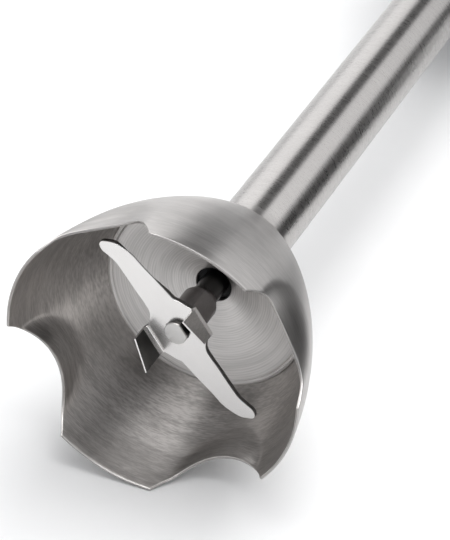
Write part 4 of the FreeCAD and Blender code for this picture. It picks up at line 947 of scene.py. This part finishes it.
def well_wall(front, height, head):
    """Boss round a screw head, from under the head to the middle of the shell's wall."""
    start, radius = head - 1.6, 4.05
    foot, top = [], []
    for angle in full_turn(48):
        here, level = front + radius * math.cos(angle), height + radius * math.sin(angle)
        width, depth, back = grip_size(level)
        reach = width * math.sqrt(max(1 - ((here + back) / depth) ** 2, 0)) - GRIP_WALL / 2
        foot.append(place(start, here, level))
        top.append(place(max(reach, start + 0.1), here, level))
    return capped([foot, top])


def stadium(height, half_length, half, side_steps=12):
    """Outline (across, height) with round ends; point i mirrors point -i about the middle."""
    straight, steps = half_length - half, 16
    right = []
    for step in range(1, steps + 1):
        angle = -math.pi / 2 + math.pi / 2 * step / steps
        right.append((half * math.cos(angle), height - straight + half * math.sin(angle)))
    for step in range(1, side_steps):
        right.append((half, height - straight + 2 * straight * step / side_steps))
    for step in range(steps):
        angle = math.pi / 2 * step / steps
        right.append((half * math.cos(angle), height + straight + half * math.sin(angle)))
    left = [(-across, level) for across, level in reversed(right)]
    return [(0.0, height - half_length), *right, (0.0, height + half_length), *left]


def button_holes():
    """The holes that the two buttons need through the panel and the shell."""
    holes = []
    for height, half_length in (POWER, TURBO):
        outline = stadium(height, half_length + BUTTON_GAP, BUTTON_HALF + BUTTON_GAP)
        holes.append(capped([[place(across, front, level) for across, level in outline]
                             for front in (20.0, 45.0)]))
    return holes


def zipped(rings):
    """Sweep of mirrored loops, closed at both ends by strips from side to side."""
    points, faces = sweep(rings)
    count = len(rings[0])
    for start in (0, len(points) - count):
        for index in range(count // 2):
            corners = (index, index + 1, (count - index - 1) % count, (count - index) % count)
            faces.append(tuple(start + corner for corner in dict.fromkeys(corners)))
    return points, faces


def make_panel():
    """Rubber panel round the buttons, which follows the grip and stands a little proud of it."""
    middle, half_length = (PANEL_LOW + PANEL_HIGH) / 2, (PANEL_HIGH - PANEL_LOW) / 2
    under, proud = 0.02, 1.0
    # (inset, rise): out along the underside, round the edge and back over the top
    profile = [*((inset, under) for inset in (12.6, 9.0, 6.0, 3.0, 0.0)), (0.0, 0.55), (0.12, 0.82),
               (0.35, 0.96), *((inset, proud) for inset in (0.7, 3.0, 6.0, 9.0, 12.6))]
    rings = []
    for inset, rise in profile:
        outline = stadium(middle, half_length - inset, PANEL_HALF - inset, side_steps=48)
        rings.append([place(across, grip_front(across, level) + rise, level) for across, level in outline])
    piece("grip_panel", zipped(rings), "motor_body", "panel_rubber", ["button_panel"], cuts=button_holes())


def make_button(name, button, body, node):
    """Button with rounded edges, its flange behind the panel and its stem."""
    height, half_length = button
    edge, steps = 1.4, 6
    flange, flange_low, flange_high = 1.3, 24.0, 25.4
    profile = [(6.0, flange_low), (-flange, flange_low), (-flange, flange_high), (0.0, flange_high),
               (0.0, BUTTON_TOP - edge)]
    for step in range(1, steps + 1):
        angle = math.pi / 2 * step / steps
        profile.append((edge * (1 - math.cos(angle)), BUTTON_TOP - edge + edge * math.sin(angle)))
    # the top is dished towards its middle
    profile += [(inset, BUTTON_TOP - dish) for inset, dish in ((3.0, 0.12), (4.5, 0.22), (6.5, 0.28))]
    rings = [[place(across, front, level) for across, level in
              stadium(height, half_length - inset, BUTTON_HALF - inset)] for inset, front in profile]
    half_stem = 1.5
    stem = block((-half_stem, half_stem), (21.7, flange_low + 0.4), (height - half_stem, height + half_stem))
    piece(name, merged([zipped(rings), stem]), body, "button_plastic", [node])


def make_end_cap():
    """Rounded hollow cap on the grip's end, with holes for the dial, its stem and the cord's bush."""
    width, depth, back = GRIP[-1][1:]
    low, beyond = GRIP[-1][0] + 0.05, 425.0

    def ring(inset, level, count):
        return [place((width - inset) * math.cos(angle), (depth - inset) * math.sin(angle) - back, level)
                for angle in full_turn(count)]

    curve = through([(0.3, 0.02), (5.0, 0.5), (8.6, 1.8), (10.4, 3.6), (11.0, 5.6)], (-3, 0), (11.1, 8), 5)
    profile = [Vector((0.0, 0.3)), *curve, Vector((11.0, 12.0))]
    cap = capped([ring(inset, low + rise, 192) for rise, inset in profile])
    hollow = capped([ring(2.2, low - 1, 96), ring(2.6, low + 4, 96)])
    dial_hole = rod(13.4, 406.2, beyond, DIAL_FRONT, 128)
    bush_hole = rod(6.15, low - 2, beyond, INLET_FRONT, 96)
    stem_hole = rod(3.6, low + 2, 407, DIAL_FRONT, 64)
    piece("grip_cap", cap, "motor_body", "housing_plastic", ["end_cap"],
          cuts=[hollow, dial_hole, bush_hole, stem_hole])


def make_dial():
    """Knob with 24 finger grooves, a pointer slot in its face and a blind hole for its stem."""
    low, high, radius, chamfer = 406.6, 415.0, 13.0, 1.4
    bore, bore_end = 3.03, 410.6
    grooves, groove, groove_away = 24, 1.1, 13.5

    def narrow(angle, reach):
        turn = (angle + math.pi / grooves) % (math.tau / grooves) - math.pi / grooves
        inside = groove ** 2 - (groove_away * math.sin(turn)) ** 2
        return min(reach, groove_away * math.cos(turn) - math.sqrt(inside)) if inside > 0 else reach

    knob = lathe([
        (bore, low), (radius, low, 0.2), (radius, high - chamfer, 0.5), (radius - chamfer, high, 0.5),
        (0.0, high), (0.0, bore_end), (bore, bore_end),
    ], 432, narrow, front=DIAL_FRONT)
    pointer = block((-0.6, 0.6), (13.0, 20.0), (high - 0.5, high + 2))
    piece("dial_knob", knob, "dial", "dial_plastic", ["speed_dial"], cuts=[pointer])


def make_bush():
    """Flanged bush that the cord would come through."""
    bore, neck, flange = 4.5, 6.1, 7.3
    low, flange_top, high = 402.0, 403.8, 412.2
    bush = lathe([
        (bore, low, 0.2), (flange, low, 0.2), (flange, flange_top, 0.2), (neck, flange_top),
        (neck, high, 0.5), (bore, high, 0.5),
    ], 96, front=INLET_FRONT)
    piece("inlet_bush", bush, "motor_body", "seal_rubber", ["cord_bush"])


def make_collar():
    """Flared collar at the top of the tube, with its spigot, ring groove and three bayonet lugs."""
    flare_low, flare_high, flare = (11.6, 197.0), (23.2, 224.0), 60.0
    centre = arc_centre(flare_high, flare_low, flare)
    start = math.atan2(flare_low[1] - centre.y, flare_low[0] - centre.x)
    end = math.atan2(flare_high[1] - centre.y, flare_high[0] - centre.x)
    curve, steps = [], 24
    for step in range(1, steps):
        angle = start + (end - start) * step / steps
        curve.append((centre.x + flare * math.cos(angle), centre.y + flare * math.sin(angle)))
    foot, shoulder, top = 192.0, 228.0, 244.0
    socket, socket_top, shaft_hole, floor_top = 9.16, 216.05, 8.5, 218.0
    spigot, bore, groove, groove_low, groove_high = 16.5, 14.5, 15.42, 230.55, 232.45
    collar = lathe([
        (socket, foot), (11.2, foot, 0.5), (*flare_low, 1.0), *curve, (*flare_high, 0.6),
        (flare_high[0], shoulder, 0.4), (spigot, shoulder), (spigot, groove_low), (groove, groove_low),
        (groove, groove_high), (spigot, groove_high), (spigot, top, 0.4), (bore, top), (bore, floor_top),
        (shaft_hole, floor_top), (shaft_hole, socket_top), (socket, socket_top),
    ], 160)
    lugs = [block((15.2, 18.4), (-3.6, 3.6), (238.0, 241.0), turn) for turn in full_turn(3)]
    piece("tube_collar", merged([collar] + lugs), "arm", "collar_plastic", ["arm_collar"])


def make_trim():
    """Bright ring at the grip's nose."""
    inner, radius, low, high = 17.5, 24.0, 228.4, 233.0
    trim = lathe([
        (inner, low), (radius - 0.6, low, 0.3), (radius, low + 0.6, 0.3), (radius, high - 0.2, 0.2),
        (radius - 0.2, high), (inner, high),
    ], 160)
    piece("nose_trim", trim, "motor_body", "trim_chrome", ["trim_ring"])


def coil_spring(centre, middle, foot, length):
    """Coil spring that stands up from foot: its wire's centre line is length high."""
    wire, radius, turns, steps = SPRING_WIRE, SPRING_RADIUS, 5, 28
    rings = []
    for step in range(turns * steps + 1):
        angle = math.tau * step / steps
        ring = []
        for side in full_turn(10):
            reach = radius + wire * math.cos(side)
            rise = length * step / (turns * steps) + wire * math.sin(side)
            spot = (centre + reach * math.cos(angle), middle + reach * math.sin(angle), foot + rise)
            ring.append(Vector(spot) * MM)
        rings.append(ring)
    return capped(rings)


def make_springs(node):
    """Two coil springs under a button."""
    low, high = (Vector(corner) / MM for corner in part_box(node))
    half = SPRING_RADIUS + SPRING_WIRE
    middle, foot, length = (low.y + high.y) / 2, low.z + SPRING_WIRE, high.z - low.z - 2 * SPRING_WIRE
    pair = merged([coil_spring(centre, middle, foot, length) for centre in (low.x + half, high.x - half)])
    springs = piece(node + "_pair", pair, "motor_body", "spring_steel", [node])
    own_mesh(springs)


# ---------------- all the pieces

make_bell()
make_tube()
make_disc()
make_blade()
make_hub()
make_shaft()
make_collar()
make_trim()
make_housing(-1, "grip_left", "housing_left")
make_housing(1, "grip_right", "housing_right")
make_panel()
make_button("power_cap", POWER, "power_key", "power_button")
make_button("turbo_cap", TURBO, "turbo_key", "turbo_button")
make_end_cap()
make_dial()
make_bush()
make_springs("power_springs")
make_springs("turbo_springs")

# ---------------- remaining CAD nodes

slot_names = {part["node"]: part["material_slot"] for part in frame["record"]["subparts"]}
for node_name, item in frame["nodes"].items():
    for holder in item.material_slots:
        holder.material = FINISHES[slot_names[node_name]]

# ---------------- floor, light and camera


def make_floor():
    """Large pale table top under the tool."""
    nodes = Nodes("floor_white")
    spot = nodes.add("TexCoord").outputs["Object"]
    fleck = nodes.noise(spot, 60.0, 3.0, 0.5)
    colour = nodes.blend(fleck, (0.86, 0.86, 0.86, 1), (0.89, 0.89, 0.89, 1))
    nodes.finish(Base_Color=colour, Roughness=0.85)
    work = bmesh.new()
    bmesh.ops.create_grid(work, x_segments=8, y_segments=8, size=4.0)
    mesh = bpy.data.meshes.new("floor")
    work.to_mesh(mesh)
    work.free()
    floor = bpy.data.objects.new("floor", mesh)
    floor.location.z = cad_low.z - 0.0002
    bpy.context.scene.collection.objects.link(floor)
    mesh.materials.append(nodes.material)


def soft_box(name, where, target, width, height, glow, upright=(0, 0, 1)):
    """Rectangular light that faces target: width lies across upright, and glow is its radiance."""
    light = bpy.data.lights.new(name, "AREA")
    light.shape = "RECTANGLE"
    light.size, light.size_y = width, height
    light.energy = glow * math.pi * width * height
    back = (Vector(where) - Vector(target)).normalized()
    right = Vector(upright).cross(back).normalized()
    lamp = bpy.data.objects.new(name, light)
    lamp.matrix_world = (Matrix.Translation(where)
                         @ Matrix((right, back.cross(right), back)).transposed().to_4x4())
    bpy.context.scene.collection.objects.link(lamp)
    return lamp


def side_box(name, low, high, away, near, far, glow):
    """Long light beside the tool, between two angles above the floor, seen from the tube."""
    middle, half = math.radians((low + high) / 2), math.radians((high - low) / 2)
    centre = Vector((math.cos(middle) * away, (near + far) / 2, AXIS_Z + math.sin(middle) * away))
    width = 2 * away * math.tan(half)
    return soft_box(name, centre, (0, centre.y, AXIS_Z), width, far - near, glow, (0, 1, 0))


def dark_card(name, low, high, away, near, far):
    """Long black card beside the tool, between two angles seen from the tube.

    It only shows in the steel, as the dark bands along the tube.
    """
    middle, half = math.radians((low + high) / 2), math.radians((high - low) / 2)
    across, up = math.cos(middle) * away, AXIS_Z + math.sin(middle) * away
    reach = away * math.tan(half)
    side = Vector((-math.sin(middle), 0, math.cos(middle))) * reach
    corners = [Vector((across, y, up)) + side * sign for y in (near, far) for sign in (-1, 1)]
    card = plain_mesh(name, corners, [(0, 1, 3, 2)])
    nodes = Nodes(name + "_black")
    weave = nodes.noise(nodes.add("TexCoord").outputs["Object"], 300.0)
    card.data.materials.append(nodes.finish(
        Base_Color=nodes.blend(weave, (0.02, 0.02, 0.02, 1), (0.03, 0.03, 0.03, 1)), Roughness=0.9))
    card.visible_camera = card.visible_diffuse = card.visible_shadow = False


def make_light():
    """Pale studio: long boxes and cards shape the steel, and a fill above throws the soft shadow."""
    world = bpy.data.worlds.new("studio")
    world.use_nodes = True
    background = world.node_tree.nodes["Background"]
    background.inputs["Color"].default_value = (0.97, 0.98, 1.0, 1)
    background.inputs["Strength"].default_value = 0.60
    bpy.context.scene.world = world
    bpy.context.scene.view_settings.view_transform = "Standard"
    # two angles in degrees, metres away, the near and the far end in metres, and for a light its glow
    side_box("left_box", 107, 168, 1.0, -0.9, 2.2, 1.10).visible_diffuse = False
    side_box("right_box", 22, 70, 1.1, -0.6, 2.0, 0.88).visible_diffuse = False
    dark_card("top_card", 76, 107, 0.8, 0.2, 2.2)
    dark_card("right_card", -16, 14, 0.12, -0.3, 0.7)
    dark_card("low_card", -27, -4, 0.07, -0.08, 0.03)
    soft_box("front_box", (-0.1, -0.9, 1.7), (0, -0.1, 0), 1.4, 0.9, 5.0).visible_diffuse = False
    soft_box("top_fill", (0.35, 0.2, 1.6), (0, -0.1, 0), 1.8, 1.8, 3.1, (0, 1, 0)).visible_glossy = False


def make_camera():
    """Camera in front of the bell, to its right and above, as in the photograph."""
    camera = bpy.data.cameras.new("camera")
    camera.sensor_width = 36.0
    camera.lens = 165.2
    camera.clip_start, camera.clip_end = 0.01, 20.0
    view = bpy.data.objects.new("camera", camera)
    rim = Vector((0, RIM_Y, AXIS_Z))
    eye = rim + Vector((0.1893, -0.3855, 0.3220))
    right = Vector((0.9137, 0.4063, 0.0)).normalized()
    up = Vector((-0.231, 0.5195, 0.8226))
    back = right.cross(up).normalized()
    up = back.cross(right)
    view.matrix_world = Matrix.Translation(eye) @ Matrix((right, up, back)).transposed().to_4x4()
    bpy.context.scene.collection.objects.link(view)
    bpy.context.scene.camera = view


make_floor()
make_light()
make_camera()
